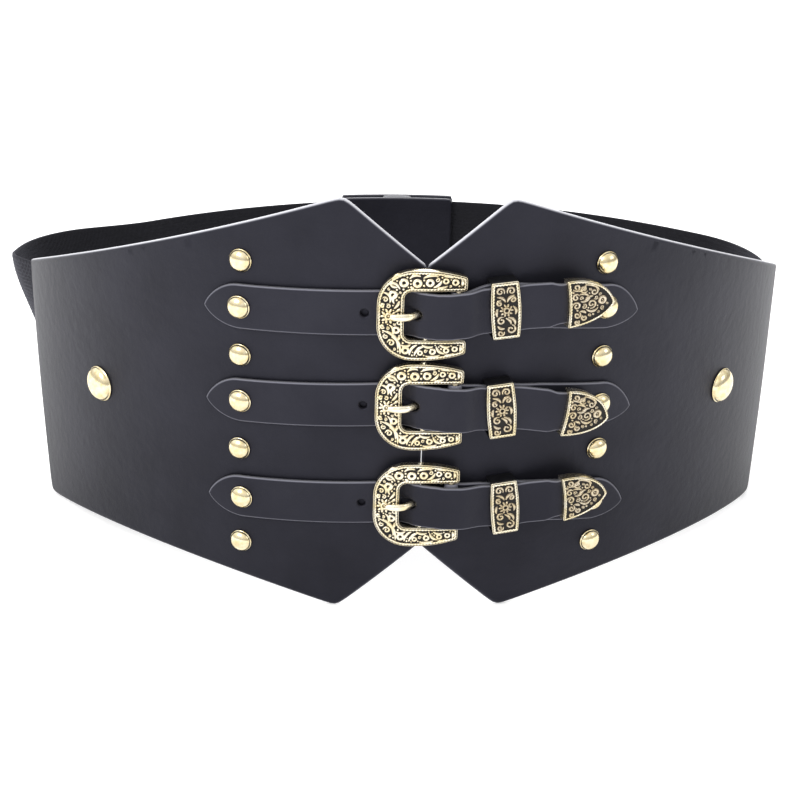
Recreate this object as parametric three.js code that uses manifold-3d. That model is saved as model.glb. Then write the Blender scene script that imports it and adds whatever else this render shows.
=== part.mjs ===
// Corset belt: two leather front panels joined by three western buckle sets,
// with elastic bands round the sides to a leather tab at the back of the waist.
// Millimetres, +Z up. The belt stands on z = 0 with its front towards -Y.
//
// Every piece is first laid out flat: x runs along the belt from the front centre,
// z is the height and -y is the distance out from the panels' outer face.
// wrap() then bends that layout round the waist.

import * as THREE from "three";
import { mergeVertices } from "three/addons/utils/BufferGeometryUtils.js";
import Module from "manifold-3d";

const wasm = await Module();
wasm.setup();

const RAD = Math.PI / 180;

// Plan of the waist
const WAIST_HALF_WIDTH = 155;
const FRONT_TURN = 68 * RAD;
const SIDE_TURN = 73 * RAD;
const SIDE_RADIUS = 53;

// Walls and clearance
const GAP = 0.3;
const PANEL_WALL = 2.4;
const ELASTIC_WALL = 1.8;
const STRAP_WALL = 1.7;

// Front panels
const CENTRE_SLIT = 0.3;
const NOTCH_TOP = 135.6;
const NOTCH_BOTTOM = 27.4;
const PEAK_TOP = { s: 29.4, z: 159.8 };
const PEAK_BOTTOM_S = 30.5;
const OUTER_TOP = { s: 206, z: 97.4 };
const OUTER_BOTTOM_S = 189.5;
const HEM_ARCH = 11.3;
const PEAK_ROUNDING = 0.9;
const CORNER_ROUNDING = 4;
const PANEL_STEP = 6;

// Elastic bands
const ELASTIC_TOP = 95;
const ELASTIC_START = 186;
const ELASTIC_STEP = 8;
const ELASTIC_LEVELS = 3;
const FLARE_FROM_Z = 44;
const FLARE = { start: OUTER_TOP.s + 0.8, full: 223, ease: 230, end: 290, step: 3.5 };
const SIDES = [
  { name: "left", sign: -1, flare: 14, sag: 0.8, drop: 1.3 },
  { name: "right", sign: 1, flare: 1, sag: 0, drop: 3.3 },
];
const [LEFT, RIGHT] = SIDES;

// Back tab
const TAB_HALF_WIDTH = 26;
const TAB_TOP = 97;
const TAB_CORE_HALF = 7;
const TAB_STEP = 6.5;

// Straps
const STRAP_WIDTH = 16.9;
const STRAP_END = 80.5;
const STUD_COLUMN = 66.5;
const STRAP_STEP = 5;
const CLIMB_STEP = 1.9;
const FIRST_CLIMB_STEP = 1.6;
const BEFORE_CLIMB = 4;
const AFTER_FOLD = 6;
const NECK = { from: 5, to: 2 };
const KEEPER_EASE = 1.7;
const LIE_DOWN = 18;
const LIE_DOWN_STEP = 2.6;
const SLIT_EXTRA = 4;

// Buckle frame, laid flat with u along the belt and v up
const FRAME = {
  left: -16.9, right: 13.4, side: 9.2, outer: 16.6, armOuter: 14.1, corner: 12.6,
  opening: 9, innerCorner: 2.6, crownAt: -2, wall: 3, bevel: 0.4,
};
const BAR = { s: 10.6, radius: 1.1, lift: 0.2 };
const EYE_CLEAR = 0.3;
const EYE_WALL = 1.1;

// Prong
const PRONG = { eyeRadius: 2.5, eyeWidth: 3.4, width: 2.8, deep: 2, tip: -12.4, sides: 8 };
const PRONG_HOLE = { from: -7.3, to: -1.6, width: 3.6 };
const SPARE_HOLE = { s: -21.3, radius: 1.4 };

// Keeper loop and strap tip
const KEEPER = { width: 10.4, height: 21, backWall: 0.8, wall: 0.6, front: 1.2, crown: 0.7, play: 0.9 };
const TIP = {
  length: 17.6, height: 17.6, wall: 0.7, front: 1.4, rim: 1, pocket: 4.8, held: 3.2, apexDrop: 2, hollow: 0.7,
};

// Cast relief
const RELIEF = { height: 0.5, rim: 1.1, edge: 0.25, line: 0.75, root: 0.25 };

// Domed studs
const STUD = { radius: 4.3, height: 2.7, edge: 0.5, sides: 10 };
const SIDE_STUD = { radius: 7, height: 3.6, edge: 0.6, sides: 16 };
const SIDE_STUD_AT = { s: 136, z: 68.8 };

// The three rows: height of the rivets on each side, of the buckle, of the keeper and of
// the metal tip, then where the keeper sits and leans, and where the metal tip starts
const ROWS = [
  {
    name: "top", z: { left: 116.6, right: 117.3 }, buckleZ: 119.8, keeperZ: 121.9, tipZ: 123.7,
    keeperAt: 26.3, keeperLean: 4, tipAt: 47,
  },
  {
    name: "middle", z: { left: 80.4, right: 79.4 }, buckleZ: 85.1, keeperZ: 83.8, tipZ: 80.3,
    keeperAt: 26.6, keeperLean: 5, tipAt: 48.6,
  },
  {
    name: "bottom", z: { left: 41.4, right: 40.2 }, buckleZ: 46.1, keeperZ: 44.9, tipZ: 47.3,
    keeperAt: 29.6, keeperLean: 4.5, tipAt: 50,
  },
];
const [TOP_ROW] = ROWS;
const STUD_APART = 4.05;
const FIRST_STUD_Z = TOP_ROW.z.left + STRAP_WIDTH / 2 + STUD.radius + STUD_APART;
const PANEL_STUDS = [
  { s: 66.4, z: FIRST_STUD_Z }, { s: 67.2, z: 97.5 }, { s: 68, z: 60.3 }, { s: 67.9, z: 21.8 },
];

// Distances out from the panels' outer face
const STRAP_LOW = GAP;
const STRAP_TOP = STRAP_LOW + STRAP_WALL;
const FRAME_LOW = STRAP_TOP + GAP;
const BAR_N = FRAME_LOW + BAR.radius + BAR.lift;
const HOLE_RADIUS = BAR.radius + EYE_CLEAR;
const EYE_RADIUS = HOLE_RADIUS + EYE_WALL;
const BRIDGE_LOW = BAR_N + EYE_RADIUS + GAP;
const KEEPER_LOW = GAP;
const UNDER_KEEPER = KEEPER_LOW + KEEPER.backWall + GAP;
const OVER_BUCKLE_STRAP = UNDER_KEEPER + STRAP_WALL + KEEPER.play;
const TIP_LOW = STRAP_TOP + GAP + STUD.height + GAP;
const TIP_STRAP_END_LOW = TIP_LOW + TIP.wall + GAP;

const LEATHER = { color: 0x37363c, roughness: 0.5, metalness: 0 };
const ELASTIC = { color: 0x17171a, roughness: 0.95, metalness: 0 };
const GOLD = { color: 0xcdb987, roughness: 0.3, metalness: 1 };

const clamp01 = (t) => Math.min(Math.max(t, 0), 1);
const smooth = (a, b, x) => THREE.MathUtils.smoothstep(x, a, b);

// Value of a table of [position, value] rows, straight or eased from row to row
function follow(rows, x, blend = (a, b, at) => clamp01((at - a) / (b - a))) {
  for (let i = 1; i < rows.length; i++) {
    const [a, low] = rows[i - 1];
    const [b, high] = rows[i];
    if (x <= b) return low + (high - low) * blend(a, b, x);
  }
  return rows[rows.length - 1][1];
}
const eased = (rows, x) => follow(rows, x, smooth);

const softMin = (a, b, k) => (a + b) / 2 - Math.hypot((a - b) / 2, k);
const softMax = (a, b, k) => (a + b) / 2 + Math.hypot((a - b) / 2, k);
const between = (a, b, x) => a.z + ((b.z - a.z) * (x - a.s)) / (b.s - a.s);

// The waist in plan: a front arc, a tight side arc and a back arc for each half
function makeWaist() {
  const turned = FRONT_TURN + SIDE_TURN;
  const front = (WAIST_HALF_WIDTH - SIDE_RADIUS * (1 - Math.sin(FRONT_TURN))) / Math.sin(FRONT_TURN);
  const reach = front * Math.sin(FRONT_TURN) + SIDE_RADIUS * (Math.sin(turned) - Math.sin(FRONT_TURN));
  const back = reach / Math.sin(turned);
  const arcs = [
    { radius: front, turn: FRONT_TURN },
    { radius: SIDE_RADIUS, turn: SIDE_TURN },
    { radius: back, turn: Math.PI - turned },
  ];
  let [s, x, y, heading] = [0, 0, 0, 0];
  for (const arc of arcs) {
    Object.assign(arc, { s, x, y, heading });
    const after = heading + arc.turn;
    x += arc.radius * (Math.sin(after) - Math.sin(heading));
    y += arc.radius * (Math.cos(heading) - Math.cos(after));
    s += arc.radius * arc.turn;
    heading = after;
  }
  return { arcs, half: s, depth: y };
}
const WAIST = makeWaist();

// Point and heading of the waist line at a distance from the front centre
function waistAt(s) {
  const round = s > WAIST.half ? s - 2 * WAIST.half : s;
  const sign = round < 0 ? -1 : 1;
  const along = Math.abs(round);
  const arc = WAIST.arcs.findLast((a) => along >= a.s);
  const heading = arc.heading + (along - arc.s) / arc.radius;
  return {
    x: sign * (arc.x + arc.radius * (Math.sin(heading) - Math.sin(arc.heading))),
    y: arc.y + arc.radius * (Math.cos(arc.heading) - Math.cos(heading)),
    heading: sign * heading,
  };
}

function wrapPoint(s, n, z) {
  const at = waistAt(s);
  return new THREE.Vector3(at.x + Math.sin(at.heading) * n, at.y - Math.cos(at.heading) * n, z);
}

// Bend a flat layout round the waist
function wrap(geometry) {
  const flat = geometry.getAttribute("position");
  for (let i = 0; i < flat.count; i++) {
    const p = wrapPoint(flat.getX(i), -flat.getY(i), flat.getZ(i));
    flat.setXYZ(i, p.x, p.y, p.z);
  }
  return geometry;
}

// Booleans
function toSolid(geometry) {
  const bare = geometry.clone();
  for (const name of ["normal", "uv"]) bare.deleteAttribute(name);
  const merged = mergeVertices(bare, 1e-4);
  return new wasm.Manifold(new wasm.Mesh({
    numProp: 3,
    vertProperties: new Float32Array(merged.getAttribute("position").array),
    triVerts: new Uint32Array(merged.index.array),
  }));
}

function toGeometry(solid) {
  const mesh = solid.getMesh();
  const geometry = new THREE.BufferGeometry();
  geometry.setAttribute("position", new THREE.BufferAttribute(new Float32Array(mesh.vertProperties), 3));
  geometry.setIndex(new THREE.BufferAttribute(new Uint32Array(mesh.triVerts), 1));
  return geometry;
}

function combine(base, added, removed = []) {
  let solid = toSolid(base);
  for (const piece of added) solid = solid.add(toSolid(piece));
  for (const piece of removed) solid = solid.subtract(toSolid(piece));
  return toGeometry(solid);
}

// A wall through stations { s, low, high, n, wall }, with n its inner face;
// lean(s, z) moves it outwards
function makeWall(stations, levels = 1, lean = () => 0) {
  const points = [];
  const index = [];
  const ring = 2 * (levels + 1);
  for (const at of stations) {
    for (const out of [at.wall, 0]) {
      for (let j = 0; j <= levels; j++) {
        const z = at.low + ((at.high - at.low) * j) / levels;
        points.push(at.s, -(at.n + out + lean(at.s, z)), z);
      }
    }
  }
  const quad = (a, b, c, d) => index.push(a, b, c, a, c, d);
  for (let i = 0; i + 1 < stations.length; i++) {
    const here = i * ring;
    const next = here + ring;
    const inner = levels + 1;
    for (let j = 0; j < levels; j++) {
      quad(here + j, next + j, next + j + 1, here + j + 1);
      quad(here + inner + j, here + inner + j + 1, next + inner + j + 1, next + inner + j);
    }
    quad(here + inner, next + inner, next, here);
    quad(here + levels, next + levels, next + inner + levels, here + inner + levels);
  }
  const last = (stations.length - 1) * ring;
  for (let j = 0; j < levels; j++) {
    const inner = levels + 1 + j;
    quad(j, j + 1, inner + 1, inner);
    quad(last + j, last + inner, last + inner + 1, last + j + 1);
  }
  const geometry = new THREE.BufferGeometry();
  geometry.setAttribute("position", new THREE.Float32BufferAttribute(points, 3));
  geometry.setIndex(index);
  return geometry;
}

// Even steps between two ends, with both ends in
function steps(from, to, step) {
  const count = Math.max(1, Math.round(Math.abs(to - from) / step));
  return Array.from({ length: count + 1 }, (_, i) => from + ((to - from) * i) / count);
}

function mirrored(stations) {
  return stations.map((at) => ({ ...at, s: -at.s })).reverse();
}

// Front panels
function panelTop(s) {
  const rising = between({ s: 0, z: NOTCH_TOP }, PEAK_TOP, s);
  const falling = between(PEAK_TOP, OUTER_TOP, s);
  return softMin(rising, falling, PEAK_ROUNDING) + PEAK_ROUNDING / 2;
}

function panelHem(s) {
  const middle = (PEAK_BOTTOM_S + OUTER_BOTTOM_S) / 2;
  const reach = (OUTER_BOTTOM_S - PEAK_BOTTOM_S) / 2;
  return HEM_ARCH * (1 - ((s - middle) / reach) ** 2) - PEAK_ROUNDING;
}

function panelBottom(s) {
  const notch = between({ s: 0, z: NOTCH_BOTTOM }, { s: PEAK_BOTTOM_S, z: -PEAK_ROUNDING }, s);
  const outer = between({ s: OUTER_BOTTOM_S, z: 0 }, OUTER_TOP, s);
  const hem = softMax(notch, s < OUTER_BOTTOM_S + 4 ? panelHem(s) : 0, PEAK_ROUNDING);
  return Math.max(softMax(hem, outer, CORNER_ROUNDING), 0);
}

function panelStations() {
  const inner = CENTRE_SLIT / 2;
  const rounded = OUTER_TOP.s - CORNER_ROUNDING;
  const spots = [
    ...steps(inner, PEAK_TOP.s - 3, PANEL_STEP),
    ...steps(PEAK_TOP.s - 1.5, PEAK_BOTTOM_S + 2, 1),
    ...steps(PEAK_BOTTOM_S + 5, OUTER_BOTTOM_S - 6, PANEL_STEP),
    ...steps(OUTER_BOTTOM_S - 3, rounded, 3),
  ];
  const stations = spots.map((s) => ({ s, low: panelBottom(s), high: panelTop(s) }));
  const end = stations[stations.length - 1];
  const middle = (end.low + end.high) / 2;
  const left = (end.high - end.low) / 2;
  stations.push({ s: rounded + CORNER_ROUNDING * 0.7, low: middle - left * 0.55, high: middle + left * 0.7 });
  stations.push({ s: OUTER_TOP.s, low: middle - left * 0.1, high: middle + left * 0.25 });
  return stations.map((at) => ({ ...at, n: -PANEL_WALL, wall: PANEL_WALL }));
}

function makePanel(side) {
  const stations = panelStations();
  return wrap(makeWall(side.sign < 0 ? mirrored(stations) : stations));
}

// Elastic bands, which flare out at the top just behind the panels
function makeElastic(side) {
  const end = WAIST.half - TAB_CORE_HALF - GAP;
  const bulge = (s) => smooth(FLARE.start, FLARE.full, s) * (1 - smooth(FLARE.ease, FLARE.end, s));
  const lean = (s, z) => side.flare * bulge(Math.abs(s)) * smooth(FLARE_FROM_Z, ELASTIC_TOP, z);
  const middle = (ELASTIC_START + end) / 2;
  const reach = (end - ELASTIC_START) / 2;
  const spots = [
    ...steps(ELASTIC_START, FLARE.start, FLARE.step),
    ...steps(FLARE.start + FLARE.step, FLARE.ease, FLARE.step),
    ...steps(FLARE.ease + ELASTIC_STEP, end, ELASTIC_STEP),
  ];
  const stations = spots.map((s) => ({
    s,
    low: 0,
    high: ELASTIC_TOP - side.sag * (1 - ((s - middle) / reach) ** 2),
    n: -PANEL_WALL - GAP - ELASTIC_WALL,
    wall: ELASTIC_WALL,
  }));
  return wrap(makeWall(side.sign < 0 ? mirrored(stations) : stations, ELASTIC_LEVELS, lean));
}

// Back tab: an outer and an inner leaf on a core, with the elastic's ends held between
function makeBackPanel() {
  const slot = ELASTIC_WALL + 2 * GAP;
  const depth = 2 * PANEL_WALL + slot;
  const leaf = (half, n, wall) => makeWall(
    steps(WAIST.half - half, WAIST.half + half, TAB_STEP).map((s) => ({ s, low: 0, high: TAB_TOP, n, wall })),
  );
  const core = leaf(TAB_CORE_HALF, -depth, depth);
  const outer = leaf(TAB_HALF_WIDTH, -PANEL_WALL, PANEL_WALL);
  const inner = leaf(TAB_HALF_WIDTH, -depth, PANEL_WALL);
  return wrap(combine(core, [outer, inner]));
}

// Half width and drop of a strap near its pointed end
function pointShape(side, s) {
  const t = clamp01((Math.abs(s) - STUD_COLUMN) / (STRAP_END - STUD_COLUMN));
  return { half: (STRAP_WIDTH / 2) * Math.max((1 - t * t) ** 0.75, 0.06), drop: side.drop * t * t };
}

function strapStation(side, s, z, n, half) {
  const point = pointShape(side, s);
  const reach = Math.min(half, point.half);
  return { s, low: z - point.drop - reach, high: z - point.drop + reach, n, wall: STRAP_WALL };
}

function pointStations(sign) {
  return [0.25, 0.5, 0.7, 0.85, 0.95, 1].map((t) => sign * (STUD_COLUMN + t * (STRAP_END - STUD_COLUMN)));
}

// A cylinder along z, in the flat layout
function makePin(s, n, z, radius, length, sides) {
  const pin = new THREE.CylinderGeometry(radius, radius, length, sides);
  pin.rotateX(Math.PI / 2);
  pin.rotateZ(Math.PI / sides);
  pin.translate(s, -n, z);
  return pin;
}

// A straight cutter through the thickness of a strap, round-ended
function makeSlotCutter(from, to, z, width, high) {
  const r = width / 2;
  const shape = new THREE.Shape();
  shape.moveTo(from + r, z - r);
  shape.lineTo(to - r, z - r);
  shape.absarc(to - r, z, r, -Math.PI / 2, Math.PI / 2, false);
  shape.lineTo(from + r, z + r);
  shape.absarc(from + r, z, r, Math.PI / 2, 1.5 * Math.PI, false);
  return raise(shape, -1, high);
}

// Extrude a shape in the (u, v) plane outwards, between two distances n
function raise(shape, low, high, options = {}) {
  const bevel = options.bevel ?? 0;
  const geometry = new THREE.ExtrudeGeometry(shape, {
    depth: high - low - 2 * bevel,
    bevelEnabled: bevel > 0,
    bevelThickness: bevel,
    bevelSize: bevel,
    bevelOffset: -bevel,
    bevelSegments: 1,
    curveSegments: options.curveSegments ?? 4,
  });
  geometry.translate(0, 0, low + bevel);
  geometry.rotateX(Math.PI / 2);
  return geometry;
}

// Tip strap: riveted left, under the frame's closed side, over the bar and the buckle
// strap, through the keeper and up into the metal tip. The climb from the closed side to
// the bar is a table of [share of the way, share of the height].
const CLIMB = [[0.04, 0], [0.15, 0.16], [0.31, 0.5], [0.475, 0.7], [0.64, 0.85], [0.86, 1]];
const CLOSED_EDGE = FRAME.left + FRAME.side;
const TURN_AT = 4;

function tipStrapLow(row, s) {
  const way = BAR.s - CLOSED_EDGE;
  const high = BRIDGE_LOW - STRAP_LOW;
  const keeperHalf = KEEPER.width / 2 + KEEPER_EASE;
  return eased([
    ...CLIMB.map(([along, up]) => [CLOSED_EDGE + along * way, STRAP_LOW + up * high]),
    [BAR.s + EYE_RADIUS, BRIDGE_LOW],
    [row.keeperAt - keeperHalf, OVER_BUCKLE_STRAP],
    [row.keeperAt + keeperHalf, OVER_BUCKLE_STRAP],
    [row.tipAt - 1, TIP_STRAP_END_LOW],
  ], s);
}

// Height of each strap's middle line
const tipStrapZ = (row, s) => follow([
  [-STUD_COLUMN, row.z.left],
  [CLOSED_EDGE, row.buckleZ],
  [TURN_AT, row.buckleZ],
  [row.keeperAt, row.keeperZ],
  [row.keeperAt + KEEPER.width / 2, row.keeperZ],
  [row.tipAt + TIP.length / 2, row.tipZ],
], s);
const buckleStrapZ = (row, s) => follow([
  [BAR.s + EYE_RADIUS, row.buckleZ],
  [row.keeperAt - KEEPER.width / 2, row.keeperZ],
  [row.keeperAt + KEEPER.width / 2, row.keeperZ],
  [STUD_COLUMN, row.z.right],
], s);

function makeTipStrap(row) {
  const neck = TIP.height / 2 - TIP.rim - GAP;
  const width = [[row.tipAt - NECK.from, STRAP_WIDTH / 2], [row.tipAt - NECK.to, neck]];
  const spots = [
    ...pointStations(-1).reverse(),
    ...steps(-STUD_COLUMN, FRAME.left, STRAP_STEP),
    ...steps(CLOSED_EDGE - BEFORE_CLIMB, CLOSED_EDGE, BEFORE_CLIMB),
    ...steps(CLOSED_EDGE + FIRST_CLIMB_STEP, BAR.s + EYE_RADIUS + AFTER_FOLD, CLIMB_STEP),
    ...steps(row.keeperAt - KEEPER.width / 2, row.tipAt - NECK.from, STRAP_STEP),
    row.tipAt - NECK.to,
    row.tipAt + TIP.held,
  ];
  const strap = makeWall(
    spots.map((s) => strapStation(LEFT, s, tipStrapZ(row, s), tipStrapLow(row, s), follow(width, s))),
  );
  const prongHole = makeSlotCutter(
    PRONG_HOLE.from, PRONG_HOLE.to, row.buckleZ, PRONG_HOLE.width, BRIDGE_LOW + STRAP_WALL,
  );
  const spare = makeSlotCutter(
    SPARE_HOLE.s - SPARE_HOLE.radius, SPARE_HOLE.s + SPARE_HOLE.radius, tipStrapZ(row, SPARE_HOLE.s),
    2 * SPARE_HOLE.radius, STRAP_TOP + 1,
  );
  return wrap(combine(strap, [], [prongHole, spare]));
}

// Buckle strap: folded round the bar with a slit for the prong, lying on the right panel
function makeBuckleStrap(row) {
  const fold = BAR.s + EYE_RADIUS;
  const keeperHalf = KEEPER.width / 2 + KEEPER_EASE;
  const ends = { up: row.keeperAt - keeperHalf, down: row.keeperAt + keeperHalf, flat: row.keeperAt + LIE_DOWN };
  const path = [
    [fold, BAR_N - STRAP_WALL / 2], [ends.up, UNDER_KEEPER], [ends.down, UNDER_KEEPER], [ends.flat, STRAP_LOW],
  ];
  const spots = [
    BAR.s + HOLE_RADIUS + EYE_CLEAR,
    ...steps(fold, ends.up, CLIMB_STEP),
    ...steps(ends.up + STRAP_STEP, ends.down, STRAP_STEP),
    ...steps(ends.down + NECK.to, ends.flat, LIE_DOWN_STEP),
    ...steps(ends.flat + STRAP_STEP, STUD_COLUMN, STRAP_STEP),
    ...pointStations(1),
  ];
  const strap = makeWall(
    spots.map((s) => strapStation(RIGHT, s, buckleStrapZ(row, s), eased(path, s), STRAP_WIDTH / 2)),
  );
  const eye = makePin(BAR.s, BAR_N, row.buckleZ, EYE_RADIUS, STRAP_WIDTH, 14);
  const hole = makePin(BAR.s, BAR_N, row.buckleZ, HOLE_RADIUS, STRAP_WIDTH + 2, 12);
  const slitDepth = 2 * EYE_RADIUS + SLIT_EXTRA;
  const slit = new THREE.BoxGeometry(slitDepth, 2 * slitDepth, PRONG.eyeWidth + 3 * GAP);
  slit.translate(fold + GAP - slitDepth / 2, -BAR_N, row.buckleZ);
  return wrap(combine(strap, [eye], [hole, slit]));
}

// Outline points of a shape, anticlockwise
function outlineOf(shape, divisions) {
  const points = shape.extractPoints(divisions).shape;
  const kept = points.filter((p, i) => p.distanceTo(points[(i + 1) % points.length]) > 1e-3);
  return THREE.ShapeUtils.area(kept) < 0 ? kept.reverse() : kept;
}

// The outline moved inwards by a distance
function inset(points, distance) {
  return points.map((p, i) => {
    const before = points[(i + points.length - 1) % points.length];
    const after = points[(i + 1) % points.length];
    const a = p.clone().sub(before).normalize();
    const b = after.clone().sub(p).normalize();
    const across = new THREE.Vector2(-a.y - b.y, a.x + b.x).normalize();
    const share = Math.max(across.dot(new THREE.Vector2(-a.y, a.x)), 0.4);
    return p.clone().addScaledVector(across, distance / share);
  });
}

// Raised rim that follows an outline
function makeRim(points, face) {
  const shape = new THREE.Shape(inset(points, RELIEF.edge));
  shape.holes.push(new THREE.Path(inset(points, RELIEF.edge + RELIEF.rim)));
  return raise(shape, face - RELIEF.root, face + RELIEF.height);
}

// A raised scroll: a ribbon on a spiral that closes in on its centre
function makeScroll(scroll, face) {
  const count = 4;
  const outer = [];
  const inner = [];
  for (let i = 0; i <= count; i++) {
    const t = i / count;
    const angle = (scroll.from + scroll.turn * t) * RAD;
    const r = scroll.r * (1 - 0.62 * t);
    const half = (RELIEF.line / 2) * (1 - 0.3 * t);
    const at = (radius) => new THREE.Vector2(
      scroll.u + radius * Math.cos(angle), scroll.v + radius * Math.sin(angle),
    );
    outer.push(at(r + half));
    inner.push(at(r - half));
  }
  return raise(new THREE.Shape([...outer, ...inner.reverse()]), face - RELIEF.root, face + RELIEF.height);
}

// A raised flower with five petals
function makeRosette(u, v, radius, face) {
  const shape = new THREE.Shape();
  const petals = 5;
  for (let i = 0; i < petals * 2; i++) {
    const angle = (i * Math.PI) / petals;
    const r = radius * (i % 2 ? 0.5 : 1);
    const spread = i % 2 ? [0] : [-0.2, 0.2];
    for (const turn of spread) {
      const x = u + r * Math.cos(angle + turn);
      const y = v + r * Math.sin(angle + turn);
      if (i === 0 && turn < 0) shape.moveTo(x, y);
      else shape.lineTo(x, y);
    }
  }
  return raise(shape, face - RELIEF.root, face + RELIEF.height);
}

// Buckle frame: the C-shaped plate, its hidden bar and the cast relief
function frameOutline() {
  const f = FRAME;
  const side = f.left + f.side;
  const shape = new THREE.Shape();
  shape.moveTo(f.right, f.opening);
  shape.lineTo(f.right, f.armOuter);
  shape.quadraticCurveTo((f.right + f.crownAt) / 2, f.outer, f.crownAt, f.outer);
  shape.lineTo(f.left + f.corner, f.outer);
  shape.absarc(f.left + f.corner, f.outer - f.corner, f.corner, Math.PI / 2, Math.PI, false);
  shape.lineTo(f.left, f.corner - f.outer);
  shape.absarc(f.left + f.corner, f.corner - f.outer, f.corner, Math.PI, 1.5 * Math.PI, false);
  shape.lineTo(f.crownAt, -f.outer);
  shape.quadraticCurveTo((f.right + f.crownAt) / 2, -f.outer, f.right, -f.armOuter);
  shape.lineTo(f.right, -f.opening);
  shape.lineTo(side + f.innerCorner, -f.opening);
  shape.absarc(side + f.innerCorner, f.innerCorner - f.opening, f.innerCorner, 1.5 * Math.PI, Math.PI, true);
  shape.lineTo(side, f.opening - f.innerCorner);
  shape.absarc(side + f.innerCorner, f.opening - f.innerCorner, f.innerCorner, Math.PI, Math.PI / 2, true);
  return outlineOf(shape, 4);
}

const FRAME_SCROLLS = [
  { u: -12.4, v: 6.4, r: 2.3, from: 200, turn: -330 },
  { u: -8.6, v: 12, r: 2.6, from: 160, turn: -330 },
  { u: -1.4, v: 13.1, r: 2.3, from: 180, turn: 330 },
  { u: 5.6, v: 12.4, r: 1.8, from: 0, turn: -330 },
];

function makeBuckleFrame(row) {
  const outline = frameOutline();
  const face = FRAME_LOW + FRAME.wall;
  const plate = raise(new THREE.Shape(outline), FRAME_LOW, face, { bevel: FRAME.bevel });
  const scrolls = FRAME_SCROLLS.flatMap((scroll) => [
    makeScroll(scroll, face),
    makeScroll({ ...scroll, v: -scroll.v, from: -scroll.from, turn: -scroll.turn }, face),
  ]);
  const rosette = makeRosette(FRAME.left + 3.6, 0, 2.3, face);
  const bar = makePin(BAR.s, BAR_N, 0, BAR.radius, 2 * FRAME.opening + 2, 10);
  const solid = combine(plate, [makeRim(outline, face), ...scrolls, rosette, bar]);
  solid.translate(0, 0, row.buckleZ);
  return wrap(solid);
}

// Prong: an eye on the bar and a bent tongue up through the strap's hole. Its sections
// are shares: of the way to the tip, of the height to the closed side, of width and depth.
const TONGUE = [
  { along: 0.08, up: 0.12, width: 1, deep: 0.9 },
  { along: 0.2, up: 0, width: 1, deep: 1 },
  { along: 0.42, up: 0, width: 1, deep: 1 },
  { along: 0.53, up: 0.09, width: 1, deep: 1 },
  { along: 0.63, up: 0.5, width: 1, deep: 1 },
  { along: 0.72, up: 0.87, width: 1, deep: 0.95 },
  { along: 0.82, up: 1, width: 1, deep: 0.85 },
  { along: 0.93, up: 0.98, width: 0.85, deep: 0.75 },
  { along: 1, up: 0.95, width: 0.55, deep: 0.45 },
];

function makeProng(row) {
  const low = 2 * GAP + PRONG.deep / 2;
  const high = FRAME_LOW + FRAME.wall + RELIEF.height + GAP + PRONG.deep * 0.43;
  const path = TONGUE.map((at) => ({
    s: BAR.s + at.along * (PRONG.tip - BAR.s),
    n: low + at.up * (high - low),
    width: at.width * PRONG.width,
    deep: (at.deep * PRONG.deep) / 2,
  }));
  const points = [];
  path.forEach((at, i) => {
    const before = path[Math.max(i - 1, 0)];
    const after = path[Math.min(i + 1, path.length - 1)];
    const along = Math.hypot(after.s - before.s, after.n - before.n);
    const [ds, dn] = [(after.s - before.s) / along, (after.n - before.n) / along];
    for (let k = 0; k < PRONG.sides; k++) {
      const angle = ((k + 0.5) * 2 * Math.PI) / PRONG.sides;
      const lift = at.deep * Math.sin(angle);
      const across = (at.width / 2) * Math.cos(angle);
      points.push(at.s + dn * lift, -(at.n - ds * lift), row.buckleZ + across);
    }
  });
  const tongue = makeTube(points, PRONG.sides);
  const eye = makePin(BAR.s, BAR_N, row.buckleZ, PRONG.eyeRadius, PRONG.eyeWidth, 12);
  const hole = makePin(BAR.s, BAR_N, row.buckleZ, HOLE_RADIUS, PRONG.eyeWidth + 2, 12);
  return wrap(combine(tongue, [eye], [hole]));
}

// A closed tube through rings of equal point counts
function makeTube(points, sides) {
  const rings = points.length / 3 / sides;
  const index = [];
  for (let i = 0; i + 1 < rings; i++) {
    for (let k = 0; k < sides; k++) {
      const a = i * sides + k;
      const b = i * sides + ((k + 1) % sides);
      index.push(a, b, b + sides, a, b + sides, a + sides);
    }
  }
  const last = (rings - 1) * sides;
  for (let k = 1; k + 1 < sides; k++) {
    index.push(0, k + 1, k);
    index.push(last, last + k, last + k + 1);
  }
  const geometry = new THREE.BufferGeometry();
  geometry.setAttribute("position", new THREE.Float32BufferAttribute(points, 3));
  geometry.setIndex(index);
  return outwards(geometry);
}

// Turn a closed mesh's faces outwards if they point in
function outwards(geometry) {
  const at = geometry.getAttribute("position");
  const order = geometry.index.array;
  const [a, b, c] = [new THREE.Vector3(), new THREE.Vector3(), new THREE.Vector3()];
  let volume = 0;
  for (let i = 0; i < order.length; i += 3) {
    a.fromBufferAttribute(at, order[i]);
    b.fromBufferAttribute(at, order[i + 1]);
    c.fromBufferAttribute(at, order[i + 2]);
    volume += a.dot(b.cross(c));
  }
  if (volume < 0) geometry.setIndex(Array.from(order).reverse());
  return geometry;
}

// Turn a flat layout about a point of the belt, then move it there
function seat(geometry, s, z, lean) {
  geometry.rotateY(-lean);
  geometry.translate(s, 0, z);
  return geometry;
}

// Keeper: a loop round both straps with a crowned, ornamented front
const KEEPER_SCROLLS = [
  { u: -0.3, v: 6.2, r: 1.9, from: 30, turn: 380 },
  { u: 0.4, v: 1.9, r: 2, from: 210, turn: -380 },
  { u: -0.4, v: -2.4, r: 2, from: 30, turn: -380 },
  { u: 0.3, v: -6.4, r: 1.9, from: 210, turn: 380 },
];

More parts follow.
